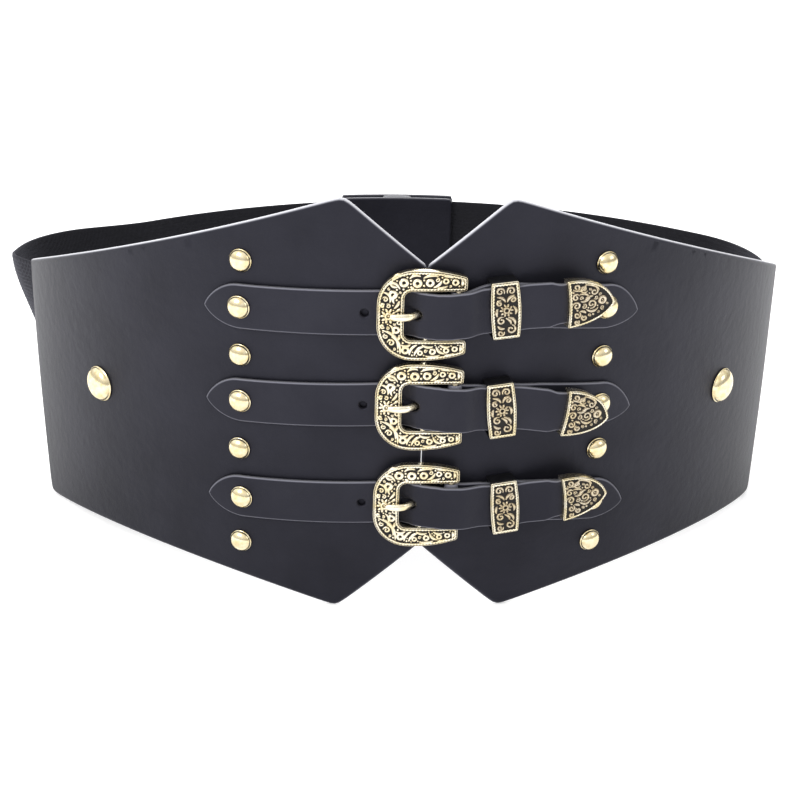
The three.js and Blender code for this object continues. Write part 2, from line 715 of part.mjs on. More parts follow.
function makeKeeper(row) {
  const k = KEEPER;
  const inside = OVER_BUCKLE_STRAP + STRAP_WALL + GAP;
  const face = inside + k.front;
  const half = k.height / 2;
  const open = half - k.wall;
  const profile = new THREE.Shape();
  profile.moveTo(-half, KEEPER_LOW);
  profile.lineTo(half, KEEPER_LOW);
  profile.lineTo(half, face - 0.6);
  profile.quadraticCurveTo(half, face, half - 1, face);
  profile.quadraticCurveTo(0, face + k.crown, 1 - half, face);
  profile.quadraticCurveTo(-half, face, -half, face - 0.6);
  const window = new THREE.Path();
  window.moveTo(-open, KEEPER_LOW + k.backWall);
  window.lineTo(open, KEEPER_LOW + k.backWall);
  window.lineTo(open, inside);
  window.lineTo(-open, inside);
  profile.holes.push(window);
  const loop = new THREE.ExtrudeGeometry(profile, { depth: k.width, bevelEnabled: false, curveSegments: 4 });
  loop.translate(0, 0, -k.width / 2);
  loop.rotateY(Math.PI / 2);
  loop.rotateX(Math.PI);
  const crownAt = (v) => face + (k.crown / 2) * (1 - (v / half) ** 2);
  const corner = new THREE.Shape();
  corner.moveTo(-k.width / 2, -half);
  corner.lineTo(k.width / 2, -half);
  corner.lineTo(k.width / 2, half);
  corner.lineTo(-k.width / 2, half);
  const rim = makeRim(outlineOf(corner, 1), face);
  const relief = KEEPER_SCROLLS.map((scroll) => makeScroll(scroll, crownAt(scroll.v)));
  return wrap(seat(combine(loop, [rim, ...relief]), row.keeperAt, row.keeperZ, row.keeperLean * RAD));
}

// Metal tip: a pointed shield over the tip strap's end
const TIP_SCROLLS = [
  { u: 4, v: 4.3, r: 2.1, from: 120, turn: -330 },
  { u: 4, v: -4.5, r: 2.1, from: 240, turn: 330 },
  { u: 9.2, v: 1.6, r: 1.9, from: 100, turn: 330 },
  { u: 9, v: -3.2, r: 1.7, from: 260, turn: -330 },
];

function tipOutline() {
  const t = TIP;
  const half = t.height / 2;
  const shape = new THREE.Shape();
  shape.moveTo(0, -half);
  shape.bezierCurveTo(t.length * 0.42, -half, t.length * 0.74, -half * 0.62, t.length, -t.apexDrop);
  shape.bezierCurveTo(t.length * 0.78, half * 0.48, t.length * 0.52, half, 0, half);
  shape.quadraticCurveTo(t.hollow * 2, 0, 0, -half);
  return outlineOf(shape, 6);
}

function makeStrapTip(row) {
  const outline = tipOutline();
  const pocketHigh = TIP_STRAP_END_LOW + STRAP_WALL + GAP;
  const face = pocketHigh + TIP.front;
  const body = raise(new THREE.Shape(outline), TIP_LOW, face);
  const mouth = TIP.height / 2 - TIP.rim;
  const pocket = new THREE.BoxGeometry(2 * (TIP.pocket + GAP), pocketHigh - TIP_STRAP_END_LOW + GAP, 2 * mouth);
  pocket.translate(0, -(TIP_STRAP_END_LOW - GAP + pocketHigh) / 2, 0);
  const relief = TIP_SCROLLS.map((scroll) => makeScroll(scroll, face));
  const solid = combine(body, [makeRim(outline, face), ...relief], [pocket]);
  const run = row.tipAt + TIP.length / 2 - (row.keeperAt + KEEPER.width / 2);
  const slope = Math.atan2(row.tipZ - row.keeperZ, run);
  return wrap(seat(solid, row.tipAt, tipStrapZ(row, row.tipAt), slope));
}

// Domed stud, seated square to the belt
function makeStud(size) {
  const { radius, height, edge } = size;
  const profile = [new THREE.Vector2(0, 0), new THREE.Vector2(radius, 0), new THREE.Vector2(radius, edge)];
  for (const angle of [28, 56]) {
    profile.push(new THREE.Vector2(
      radius * Math.cos(angle * RAD), edge + (height - edge) * Math.sin(angle * RAD),
    ));
  }
  profile.push(new THREE.Vector2(0, height));
  return new THREE.LatheGeometry(profile, size.sides);
}

function placeStud(mesh, s, n, z) {
  mesh.position.copy(wrapPoint(s, n, z));
  const heading = waistAt(s).heading;
  const outward = new THREE.Vector3(Math.sin(heading), -Math.cos(heading), 0);
  mesh.quaternion.setFromUnitVectors(new THREE.Vector3(0, 1, 0), outward);
}

// Assembly
const belt = new THREE.Group();

function addPiece(parent, name, geometry, look) {
  const mesh = new THREE.Mesh(geometry, new THREE.MeshStandardMaterial(look));
  mesh.name = name;
  parent.add(mesh);
  return mesh;
}

for (const side of SIDES) {
  addPiece(belt, `panel_${side.name}`, makePanel(side), LEATHER);
  addPiece(belt, `elastic_${side.name}`, makeElastic(side), ELASTIC);
}
addPiece(belt, "back_panel", makeBackPanel(), LEATHER);

for (const row of ROWS) {
  const set = new THREE.Group();
  addPiece(set, `tip_strap_${row.name}`, makeTipStrap(row), LEATHER);
  addPiece(set, `buckle_strap_${row.name}`, makeBuckleStrap(row), LEATHER);
  addPiece(set, `buckle_frame_${row.name}`, makeBuckleFrame(row), GOLD);
  addPiece(set, `prong_${row.name}`, makeProng(row), GOLD);
  addPiece(set, `keeper_${row.name}`, makeKeeper(row), GOLD);
  addPiece(set, `strap_tip_${row.name}`, makeStrapTip(row), GOLD);
  belt.add(set);
}

for (const side of SIDES) {
  const rivets = ROWS.map((row) => ({ s: STUD_COLUMN, z: row.z[side.name], on: STRAP_TOP }));
  const column = [...PANEL_STUDS, ...rivets].sort((a, b) => b.z - a.z);
  column.forEach((at, i) => {
    const stud = addPiece(belt, `stud_${side.name}_${i + 1}`, makeStud(STUD), GOLD);
    placeStud(stud, side.sign * at.s, (at.on ?? 0) + GAP, at.z);
  });
  const large = addPiece(belt, `side_stud_${side.name}`, makeStud(SIDE_STUD), GOLD);
  placeStud(large, side.sign * SIDE_STUD_AT.s, GAP, SIDE_STUD_AT.z);
}

// The origin is the middle of the belt's footprint
belt.updateMatrixWorld(true);
const middle = new THREE.Box3().setFromObject(belt, true).getCenter(new THREE.Vector3());
belt.position.set(-middle.x, -middle.y, 0);

export default belt;
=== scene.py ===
"""A corset belt: leather front panels joined by three western buckle sets, elastic
sides and a leather tab at the back.

Every piece is laid out flat in millimetres, as (s, n, z): s runs along the belt from
the front centre, n is the distance out from the panels' outer face and z is the
height. wrap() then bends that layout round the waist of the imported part.
"""

import math

import bpy
import numpy as np
from mathutils import Matrix, Vector
from mathutils.geometry import delaunay_2d_cdt


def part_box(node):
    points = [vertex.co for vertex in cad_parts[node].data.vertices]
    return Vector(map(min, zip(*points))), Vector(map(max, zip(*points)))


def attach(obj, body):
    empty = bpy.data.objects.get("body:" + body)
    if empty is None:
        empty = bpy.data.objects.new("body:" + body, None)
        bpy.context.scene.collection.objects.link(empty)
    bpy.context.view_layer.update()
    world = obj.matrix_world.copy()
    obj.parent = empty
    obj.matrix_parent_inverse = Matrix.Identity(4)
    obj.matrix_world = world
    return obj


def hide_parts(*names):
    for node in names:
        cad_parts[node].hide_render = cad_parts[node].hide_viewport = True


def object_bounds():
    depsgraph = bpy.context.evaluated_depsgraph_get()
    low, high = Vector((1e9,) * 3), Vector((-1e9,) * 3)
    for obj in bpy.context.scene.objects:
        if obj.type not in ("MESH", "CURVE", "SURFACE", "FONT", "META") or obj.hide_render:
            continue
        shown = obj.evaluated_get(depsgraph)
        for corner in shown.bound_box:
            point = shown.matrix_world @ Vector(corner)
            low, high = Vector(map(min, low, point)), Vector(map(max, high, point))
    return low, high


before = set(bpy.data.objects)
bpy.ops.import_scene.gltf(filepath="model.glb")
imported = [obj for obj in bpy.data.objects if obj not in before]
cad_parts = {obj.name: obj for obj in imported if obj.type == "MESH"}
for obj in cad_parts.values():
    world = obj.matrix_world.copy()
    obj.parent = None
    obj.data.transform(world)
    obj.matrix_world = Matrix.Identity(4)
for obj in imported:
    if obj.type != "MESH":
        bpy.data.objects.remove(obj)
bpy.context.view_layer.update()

MM = 0.001

# Plan of the waist
WAIST_HALF_WIDTH = 155
FRONT_TURN = math.radians(68)
SIDE_TURN = math.radians(73)
SIDE_RADIUS = 53

# Spacing of outlines, of the meshes inside them and the least corner in degrees to round
PANEL_SPACING = 1.8
PANEL_MESH = 3.2
STRAP_SPACING = 0.9
STRAP_MESH = 1.7
CAST_MESH = 1.2
SHARP = 50

# Roundings of cut edges
PANEL_EDGE = 1.05
TAB_EDGE = 0.9
STRAP_EDGE = 0.8

# Walls and clearance
GAP = 0.3
PANEL_WALL = 2.4
ELASTIC_WALL = 1.8
STRAP_WALL = 1.7

# Front panels
CENTRE_SLIT = 0.3
NOTCH_TOP = 135.6
NOTCH_BOTTOM = 27.4
PEAK_TOP = (29.4, 159.8)
PEAK_BOTTOM_S = 30.5
OUTER_TOP = (206, 97.4)
OUTER_BOTTOM_S = 189.5
HEM_ARCH = 11.3
PEAK_ROUNDING = 0.9
CORNER_ROUNDING = 4

# Elastic bands
ELASTIC_TOP = 95
ELASTIC_START = 186
ELASTIC_LOW = -PANEL_WALL - GAP - ELASTIC_WALL
FLARE_FROM_Z = 44
FLARE_START = OUTER_TOP[0] + 0.8
FLARE_FULL = 223
FLARE_EASE = 230
FLARE_END = 290
SIDES = [
    {"name": "left", "sign": -1, "flare": 14, "sag": 0.8, "drop": 1.3},
    {"name": "right", "sign": 1, "flare": 1, "sag": 0, "drop": 3.3},
]
LEFT, RIGHT = SIDES
RIB_PITCH = 1.6
RIB_DEPTH = 0.22

# Back tab
TAB_HALF_WIDTH = 26
TAB_TOP = 97
TAB_CORE_HALF = 7

# Straps
STRAP_WIDTH = 16.9
STRAP_END = 80.5
STUD_COLUMN = 66.5
KEEPER_EASE = 1.7
LIE_DOWN = 18
NECK = (5, 2)

# Buckle frame, bar and prong, with u along the belt and v up
FRAME_LEFT = -16.9
FRAME_RIGHT = 13.4
FRAME_SIDE = 9.2
FRAME_OUTER = 16.6
FRAME_ARM_OUTER = 14.1
FRAME_CORNER = 12.6
FRAME_OPENING = 9
FRAME_INNER_CORNER = 2.6
FRAME_CROWN_AT = -2
FRAME_WALL = 3
BAR_S = 10.6
BAR_RADIUS = 1.1
BAR_LIFT = 0.2
EYE_CLEAR = 0.3
EYE_WALL = 1.1
PRONG_EYE_RADIUS = 2.5
PRONG_EYE_WIDTH = 3.4
PRONG_WIDTH = 2.8
PRONG_DEEP = 2
PRONG_TIP = -12.4
PRONG_HOLE = (-7.3, -1.6, 3.6)
SPARE_HOLE_S = -21.3
SPARE_HOLE_RADIUS = 1.4

# Keeper loop and strap tip
KEEPER_WIDTH = 10.4
KEEPER_HEIGHT = 21
KEEPER_BACK = 0.8
KEEPER_WALL = 0.6
KEEPER_FRONT = 1.2
KEEPER_CROWN = 0.7
KEEPER_PLAY = 0.9
KEEPER_BULGE = 0.6
TIP_LENGTH = 17.6
TIP_HEIGHT = 17.6
TIP_WALL = 0.7
TIP_FRONT = 1.4
TIP_RIM = 1
TIP_HELD = 3.2
TIP_APEX_DROP = 2
TIP_HOLLOW = 0.7

# Cast relief: borders and strokes, how bright the small castings' strokes are, as a
# share, and the scrolls that fill bare places
RELIEF = 0.5
ROPE_WIDTH = 1.0
ROPE_PITCH = 1.1
ROPE_LIFT = 0.05
STROKE_WIDTH = 1.0
STROKE_DIMMING = 0.62
FILL_STEP = 0.2
FRAME_MARGIN = 1.35
TIP_MARGIN = 1.9
FILL_GAP = 0.25
MOST_FILL = 2.1
LEAST_SCROLL = 0.7
LEAST_FILL = 0.45

# How far the edges of holes and the hidden rings count as raised, as shares
HOLE_RAISED = 0.2
RING_RAISED = 0.6

# Leather: its shine at the hem and at the top, the lower shine at the hem being painted shade, and the colour
# of the painted highlight on its edges where they face up
LEATHER_SHINE = (0.18, 0.27)
PAINTED_TOP_EDGE_HIGHLIGHT = "d0d0d6"

# Domed studs, and the radius that they close in to
POINT = 0.001
STUD = {"radius": 4.3, "height": 2.7}
SIDE_STUD = {"radius": 7, "height": 3.6}
SIDE_STUD_AT = (136, 68.8)

# The three rows: heights of the rivets on each side, the buckle, the keeper and the metal
# tip, then where the keeper sits and leans, and where the tip starts
ROW_KEYS = ("name", "left", "right", "buckle_z", "keeper_z", "tip_z", "keeper", "lean", "tip")
ROWS = [
    dict(zip(ROW_KEYS, row)) for row in (
        ("top", 116.6, 117.3, 119.8, 121.9, 123.7, 26.3, 4, 47),
        ("middle", 80.4, 79.4, 85.1, 83.8, 80.3, 26.6, 5, 48.6),
        ("bottom", 41.4, 40.2, 46.1, 44.9, 47.3, 29.6, 4.5, 50),
    )
]
FIRST_STUD_Z = 133.4
PANEL_STUDS = [(66.4, FIRST_STUD_Z), (67.2, 97.5), (68, 60.3), (67.9, 21.8)]

# Distances out from the panels' outer face
STRAP_LOW = GAP
STRAP_TOP = STRAP_LOW + STRAP_WALL
FRAME_LOW = STRAP_TOP + GAP
FRAME_FACE = FRAME_LOW + FRAME_WALL
BAR_N = FRAME_LOW + BAR_RADIUS + BAR_LIFT
HOLE_RADIUS = BAR_RADIUS + EYE_CLEAR
EYE_RADIUS = HOLE_RADIUS + EYE_WALL
BRIDGE_LOW = BAR_N + EYE_RADIUS + GAP
UNDER_KEEPER = GAP + KEEPER_BACK + GAP
OVER_BUCKLE_STRAP = UNDER_KEEPER + STRAP_WALL + KEEPER_PLAY
KEEPER_INSIDE = OVER_BUCKLE_STRAP + STRAP_WALL + GAP
KEEPER_FACE = KEEPER_INSIDE + KEEPER_FRONT
TIP_LOW = STRAP_TOP + GAP + STUD["height"] + GAP
TIP_STRAP_END_LOW = TIP_LOW + TIP_WALL + GAP
TIP_FACE = TIP_STRAP_END_LOW + STRAP_WALL + GAP + TIP_FRONT

# The camera, in metres and degrees, and the point of the ring's plan that it looks at in mm
CAMERA_TARGET = (-2.2, 104, 39.4)
CAMERA_DISTANCE = 0.7203
CAMERA_AZIMUTH = 3.353
CAMERA_ELEVATION = 24.047
CAMERA_ROLL = 1.491
CAMERA_LENS = 76.68

# Light: strength of the sky at the horizon and overhead, and its share right and left,
# then the floor in metres
SKY_UP = (0.6, 1.25)
SKY_ACROSS = (0.7, 1.2)
FLOOR_GLOW = 0.3
FLOOR_REACH = 6
FLOOR_CLEAR = 0.0002
LIGHT_TARGET = Vector((0, 0, 0.08))


# Plan and layout
def make_waist():
    """The half waist as arcs of [start s, radius, x, y, heading], and its length."""
    turned = FRONT_TURN + SIDE_TURN
    front_reach = WAIST_HALF_WIDTH - SIDE_RADIUS * (1 - math.sin(FRONT_TURN))
    front = front_reach / math.sin(FRONT_TURN)
    reach = front_reach + SIDE_RADIUS * (math.sin(turned) - math.sin(FRONT_TURN))
    turns = [(front, FRONT_TURN), (SIDE_RADIUS, SIDE_TURN), (reach / math.sin(turned), math.pi - turned)]
    arcs = []
    s = x = y = heading = 0.0
    for radius, turn in turns:
        arcs.append([s, radius, x, y, heading])
        after = heading + turn
        x += radius * (math.sin(after) - math.sin(heading))
        y += radius * (math.cos(heading) - math.cos(after))
        s += radius * turn
        heading = after
    return np.array(arcs), s


WAIST, WAIST_HALF = make_waist()


def waist_at(s):
    """x, y and heading of the waist line at distances s from the front centre."""
    s = np.asarray(s, float)
    way = np.where(s > WAIST_HALF, s - 2 * WAIST_HALF, s)
    sign = np.where(way < 0, -1.0, 1.0)
    along = np.abs(way)
    start, radius, x, y, turned = WAIST[np.searchsorted(WAIST[:, 0], along, side="right") - 1].T
    heading = turned + (along - start) / radius
    x = x + radius * (np.sin(heading) - np.sin(turned))
    y = y + radius * (np.cos(turned) - np.cos(heading))
    return sign * x, y, sign * heading


# The ring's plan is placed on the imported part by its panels
left_low, right_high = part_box("panel_left")[0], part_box("panel_right")[1]
ORIGIN = np.array([(left_low.x + right_high.x) / 2, left_low.y, 0])


def wrap(points):
    """Bend a flat layout (s, n, z) in millimetres round the waist, in metres."""
    x, y, heading = waist_at(points[:, 0])
    n = points[:, 1]
    bent = np.stack([x + np.sin(heading) * n, y - np.cos(heading) * n, points[:, 2]], 1)
    return bent * MM + ORIGIN


def smooth(a, b, x):
    t = np.clip((np.asarray(x, float) - a) / (b - a), 0, 1)
    return t * t * (3 - 2 * t)


def eased(rows, x):
    """Value of a table of (position, value) rows, eased from row to row."""
    x = np.asarray(x, float)
    value = np.full(x.shape, float(rows[0][1]))
    for (a, low), (b, high) in zip(rows, rows[1:]):
        value = value + (high - low) * smooth(a, b, x)
    return value


def straight(rows, x):
    return np.interp(x, *zip(*rows))


def soft_min(a, b, k):
    return (a + b) / 2 - np.hypot((a - b) / 2, k)


def soft_max(a, b, k):
    return (a + b) / 2 + np.hypot((a - b) / 2, k)


def line(a, b, x):
    return a[1] + (b[1] - a[1]) * (x - a[0]) / (b[0] - a[0])


# Outlines
def bezier(count, *points):
    """Points along the curve that these points draw."""
    t = np.linspace(0, 1, count)[:, None]
    last = len(points) - 1
    shares = [math.comb(last, k) * (1 - t) ** (last - k) * t ** k for k in range(last + 1)]
    return sum(share * np.array(point) for share, point in zip(shares, points))


def resample(loop, spacing):
    """Points at even distances round a closed loop."""
    loop = np.asarray(loop, float)
    closed = np.vstack([loop, loop[:1]])
    length = np.hypot(*np.diff(closed, axis=0).T)
    way = np.concatenate([[0], np.cumsum(length)])
    count = max(8, int(round(way[-1] / spacing)))
    at = np.linspace(0, way[-1], count, endpoint=False)
    return np.stack([np.interp(at, way, closed[:, k]) for k in (0, 1)], 1)


def round_corners(loop, radius, sharp=25, steps=6):
    """Round each corner of a closed loop that turns by more than sharp degrees."""
    loop = np.asarray(loop, float)
    rounded = []
    for i, p in enumerate(loop):
        back = loop[i - 1] - p
        ahead = loop[(i + 1) % len(loop)] - p
        turn = abs(math.pi - abs(math.atan2(back[0] * ahead[1] - back[1] * ahead[0], back @ ahead)))
        if turn < math.radians(sharp):
            rounded.append(p)
            continue
        cut = radius * math.tan(turn / 2)
        a = p + back / np.hypot(*back) * min(cut, 0.45 * np.hypot(*back))
        b = p + ahead / np.hypot(*ahead) * min(cut, 0.45 * np.hypot(*ahead))
        rounded += list(bezier(steps, a, p, b))
    return np.array(rounded)


def anticlockwise(loop):
    x, y = np.asarray(loop, float).T
    area = np.sum(x * np.roll(y, -1) - np.roll(x, -1) * y)
    return np.array(loop) if area > 0 else np.array(loop)[::-1]


def leftwards(loop):
    """Unit normals of a closed loop, to the left of its course."""
    tangent = np.roll(loop, -1, 0) - np.roll(loop, 1, 0)
    tangent /= np.maximum(np.hypot(*tangent.T), 1e-9)[:, None]
    return np.stack([-tangent[:, 1], tangent[:, 0]], 1)


def room(loop, points):
    """Radius of the widest circle that touches each loop point from inside."""
    away = points[None] - loop[:, None]
    ahead = np.einsum("ijk,ik->ij", away, leftwards(loop))
    radius = np.full(ahead.shape, np.inf)
    np.divide((away ** 2).sum(2), 2 * ahead, out=radius, where=ahead > 1e-3)
    return radius.min(1)


def full_turn(count):
    return np.linspace(0, 2 * math.pi, count, endpoint=False)


def circle(u, v, radius, count=24):
    angle = full_turn(count)
    return np.stack([u + radius * np.cos(angle), v + radius * np.sin(angle)], 1)


def inside(points, loops):
    """Which points lie within the loops."""
    odd = np.zeros(len(points), bool)
    x, y = points.T
    for loop in loops:
        for a, b in zip(loop, np.roll(loop, -1, 0)):
            if a[1] == b[1]:
                continue
            crosses = (a[1] > y) != (b[1] > y)
            odd ^= crosses & (x < a[0] + (y - a[1]) * (b[0] - a[0]) / (b[1] - a[1]))
    return odd


def fill(loops, step):
    """Inner points, and triangles over the loops' points followed by the inner ones."""
    edge = np.vstack(loops)
    links = []
    for loop in loops:
        first = len(links)
        links += [(first + i, first + (i + 1) % len(loop)) for i in range(len(loop))]
    low, high = edge.min(0), edge.max(0)
    rows = np.arange(low[1] + step / 2, high[1], step * 0.87)
    across = np.arange(low[0] + step / 2, high[0], step)
    grid = np.array([(x + (step / 2 if j % 2 else 0), y) for j, y in enumerate(rows) for x in across])
    grid = grid.reshape(-1, 2)
    grid = grid[inside(grid, loops)]
    away = np.array([np.min(np.hypot(*(edge - p).T)) for p in grid])
    grid = grid[away > 0.6 * step] if len(grid) else grid
    points = np.vstack([edge, grid])
    result = delaunay_2d_cdt([Vector(p) for p in points], links, [], 0, 1e-6, True)
    ids = [sources[0] for sources in result[3]]
    triangles = np.array([[ids[k] for k in face] for face in result[2]])
    kept = inside(points[triangles].mean(1), loops)
    return grid, triangles[kept]


class Form:
    """A mesh in the making: points, faces, their material and how far each is raised."""

    def __init__(self, points=(), faces=(), looks=0, raised=1.0):
        self.points = []
        self.faces = []
        self.looks = []
        self.raised = []
        self.count = 0
        if len(points):
            self.add(points, faces, looks, raised)

    def add(self, points, faces, looks=0, raised=1.0):
        points = np.asarray(points, float).reshape(-1, 3)
        self.points.append(points)
        self.raised.append(np.broadcast_to(np.asarray(raised, float), (len(points),)))
        self.faces += [tuple(int(k) + self.count for k in face) for face in faces]
        looks = [looks] * len(faces) if isinstance(looks, int) else list(looks)
        self.looks += looks
        self.count += len(points)

    def join(self, other, move=lambda points: points):
        """Take in another form, with its points moved."""
        self.add(move(np.vstack(other.points)), other.faces, other.looks, np.concatenate(other.raised))


def grid_faces(rows, columns, closed_rows=False, closed_columns=False):
    """Quads over a grid of points stored row by row."""
    faces = []
    for i in range(rows if closed_rows else rows - 1):
        for j in range(columns if closed_columns else columns - 1):
            a, b = i * columns + j, i * columns + (j + 1) % columns
            c = (i + 1) % rows * columns
            faces.append((a, b, c + (j + 1) % columns, c + j))
    return faces


def rounded_edge(low, high, rounding, steps=4, lead=0.5):
    """Profile of (inset, n, raised) rows from the outer face round the edge to the inner."""
    front, back = [], []
    for share in np.linspace(0, 1, steps + 1):
        sine, cosine = math.sin(share * math.pi / 2), math.cos(share * math.pi / 2)
        front.append((rounding * (1 - sine), high - rounding * (1 - cosine), 0.25 + 0.75 * share))
        back.append((rounding * (1 - cosine), low + rounding * (1 - sine), 1 - share))
    return [(rounding + lead, high, 0)] + front + back


def plate(loops, profile, step, base=lambda u, v: 0.0, looks=(0, 0, 0)):
    """A sheet with shaped edges. Loops run with the sheet on their left, and profile
    rows are (inset, n, raised). looks are for the outer face, the edge and the back."""
    form = Form()
    rings = []
    for loop in loops:
        normals = leftwards(loop)
        most = 0.8 * room(loop, np.vstack(loops))[:, None]
        points = np.vstack([
            np.column_stack([loop + normals * np.minimum(inset, most), np.full(len(loop), n)])
            for inset, n, _ in profile
        ])
        rings.append(points.reshape(len(profile), len(loop), 3))
    first = [ring[0][:, :2] for ring in rings]
    grid, triangles = fill(first, step)
    raised_rows = [row[2] for row in profile]

    def lifted(points):
        points = np.array(points, float)
        points[:, 2] += base(points[:, 0], points[:, 1])
        return points[:, [0, 2, 1]]

    for ring, share in zip(rings, [1] + [HOLE_RAISED] * len(rings)):
        flat = ring.reshape(-1, 3)
        raised = np.repeat(raised_rows, ring.shape[1]) * share
        form.add(lifted(flat), grid_faces(len(profile), ring.shape[1], closed_columns=True), looks[1], raised)
    for end, look, turned in ((0, looks[0], False), (-1, looks[2], True)):
        edge = np.vstack([ring[end] for ring in rings])
        inner = np.column_stack([grid, np.full(len(grid), profile[end][1])])
        faces = triangles[:, ::-1] if turned else triangles
        form.add(lifted(np.vstack([edge, inner])), faces, look, raised_rows[end])
    return form


def ridge(path, width, height, ground, closed=False, lobes=0.0, pitch=1.0, sides=7):
    """A half-round ridge along a path on the ground. Lobes twist it into a rope."""
    path = np.asarray(path, float)
    count = len(path)
    if closed:
        tangent = np.roll(path, -1, 0) - np.roll(path, 1, 0)
    else:
        tangent = np.gradient(path, axis=0)
    tangent /= np.maximum(np.hypot(*tangent.T), 1e-9)[:, None]
    across = np.stack([-tangent[:, 1], tangent[:, 0]], 1)
    arc = np.concatenate([[0], np.cumsum(np.hypot(*np.diff(path, axis=0).T))])
    angle = np.radians(np.linspace(-20, 200, sides))
    swell = 1 - lobes * (0.5 + 0.5 * np.cos(2 * math.pi * arc[:, None] / pitch + 1.3 * angle[None]))
    width = np.broadcast_to(width, (count,))[:, None]
    height = np.broadcast_to(height, (count,))[:, None]
    level = np.broadcast_to(ground(path[:, 0], path[:, 1]), (count,))
    offset = width / 2 * np.cos(angle)[None] * swell
    lift = height * np.sin(angle)[None] * swell
    plan = path[:, None] + across[:, None] * offset[..., None]
    points = np.dstack([plan[..., 0], level[:, None] + lift, plan[..., 1]]).reshape(-1, 3)
    faces = grid_faces(count, sides, closed_rows=closed)
    if not closed:
        faces += [tuple(range(sides))[::-1], tuple(range((count - 1) * sides, count * sides))]
    raised = np.tile(0.35 + 0.65 * np.clip(np.sin(angle), 0, 1), count)
    return Form(points, faces, 0, raised)


def spin(u, n, v, profile, sides):
    """A form turned about the line out through u and v, from (radius, height) rows."""
    angles = full_turn(sides)
    points = [(u + r * math.cos(a), n + out, v + r * math.sin(a)) for r, out in profile for a in angles]
    return Form(points, grid_faces(len(profile), sides, closed_columns=True))


def dome(u, v, radius, height, ground, sides, rows):
    """A low boss."""
    turns = np.linspace(0, math.pi / 2, rows + 1)[:-1]
    form = spin(u, ground(u, v), v, [(radius * math.cos(a), height * math.sin(a)) for a in turns], sides)
    form.add([(u, ground(u, v) + height, v)], [])
    last, top = (rows - 1) * sides, rows * sides
    form.faces += [(last + k, last + (k + 1) % sides, top) for k in range(sides)]
    form.looks += [0] * sides
    return form


# Ornament strokes, each a path with its widths
def curl(u, v, r, start, turn, ground, height=RELIEF, width=STROKE_WIDTH):
    """A scroll that closes in on its centre and ends in a small ball."""
    count = max(14, int(abs(turn) / 14))
    t = np.linspace(0, 1, count)
    angle = np.radians(start + turn * t)
    radius = r * (1 - 0.72 * t)
    path = np.stack([u + radius * np.cos(angle), v + radius * np.sin(angle)], 1)
    swell = (0.45 + 0.55 * np.clip(t / 0.2, 0, 1)) * (1 - 0.35 * t)
    form = ridge(path, width * swell, height * (0.6 + 0.4 * swell), ground)
    ball = 0.34 * width / STROKE_WIDTH + 0.08
    form.join(dome(*path[-1], ball, height * 1.05, lambda a, b: ground(u, v), 10, 3))
    return form


def leaf(u0, v0, u1, v1, bend, ground, height=RELIEF, width=STROKE_WIDTH * 1.2):
    """A curved stroke that tapers to both ends."""
    middle = ((u0 + u1) / 2 - (v1 - v0) * bend, (v0 + v1) / 2 + (u1 - u0) * bend)
    path = bezier(14, (u0, v0), middle, (u1, v1))
    swell = np.sin(math.pi * np.linspace(0.06, 0.94, 14)) ** 0.75
    return ridge(path, width * swell, height * swell, ground)


def eye(u, v, r, ground, height=RELIEF):
    """A broad ring of outer radius r round a small dark hole."""
    return ridge(circle(u, v, 0.64 * r, 22), 0.72 * r, height, ground, closed=True)


def rosette(u, v, r, ground, petals=5, height=RELIEF * 1.15):
    """A flower of leaf-shaped petals round a ring."""
    form = ridge(circle(u, v, 0.36 * r, 18), 0.3 * r, height, ground, closed=True)
    for k in range(petals):
        angle = math.radians(90 + 360 * k / petals)
        for fan in (-0.2, 0.2):
            tip = angle + fan * 1.5
            form.join(leaf(
                u + 0.42 * r * math.cos(angle), v + 0.42 * r * math.sin(angle),
                u + r * math.cos(tip), v + r * math.sin(tip), fan * 0.8, ground, height, 0.36 * r,
            ))
    return form


STROKES = {"curl": curl, "leaf": leaf, "eye": eye, "rosette": rosette}


def dulled(form, share):
    """Make a form's metal count as less raised, so that it shows darker."""
    form.raised = [raised * share for raised in form.raised]
    return form


def carve(strokes, ground):
    form = Form()
    for kind, places in strokes.items():
        for place in places:
            form.join(STROKES[kind](*place, ground))
    return form


def engrave(strokes, ground, outline, margin):
    """Strokes on the ground inside an outline, with small scrolls in the bare places."""
    form = carve(strokes, ground)
    taken = np.vstack(form.points)[:, [0, 2]]
    for u, v, r in bare_places(outline, taken, margin):
        if r > LEAST_SCROLL:
            start = 360 * ((0.37 * u + 0.61 * v) % 1)
            turn = 400 if round(u + v) % 2 else -400
            form.join(curl(u, v, r - FILL_GAP, start, turn, ground, RELIEF, min(STROKE_WIDTH, 0.6 * r)))
        else:
            form.join(dome(u, v, 0.7 * r, RELIEF * 0.7, ground, 8, 2))
    return form


def bare_places(outline, taken, margin):
    """Circles (u, v, radius) that fill the room left inside an outline, widest first."""
    low, high = outline.min(0), outline.max(0)
    u, v = np.meshgrid(np.arange(low[0], high[0], FILL_STEP), np.arange(low[1], high[1], FILL_STEP))
    spots = np.stack([u.ravel(), v.ravel()], 1)
    spots = spots[inside(spots, [outline])]
    free = np.array([
        min(np.hypot(*(outline - p).T).min() - margin, np.hypot(*(taken - p).T).min()) for p in spots
    ])
    circles = []
    while free.max() > LEAST_FILL:
        best = int(free.argmax())
        r = min(free[best], MOST_FILL)
        circles.append((*spots[best], r))
        free = np.minimum(free, np.hypot(*(spots - spots[best]).T) - r)
    return circles


def rope(loop, inset, ground, width=ROPE_WIDTH, height=RELIEF * 1.1):
    """A twisted border that follows a loop."""
    loop = resample(loop, ROPE_PITCH / 7)
    path = loop + leftwards(loop) * inset
    return ridge(path, width, height, ground, closed=True, lobes=0.42, pitch=ROPE_PITCH)


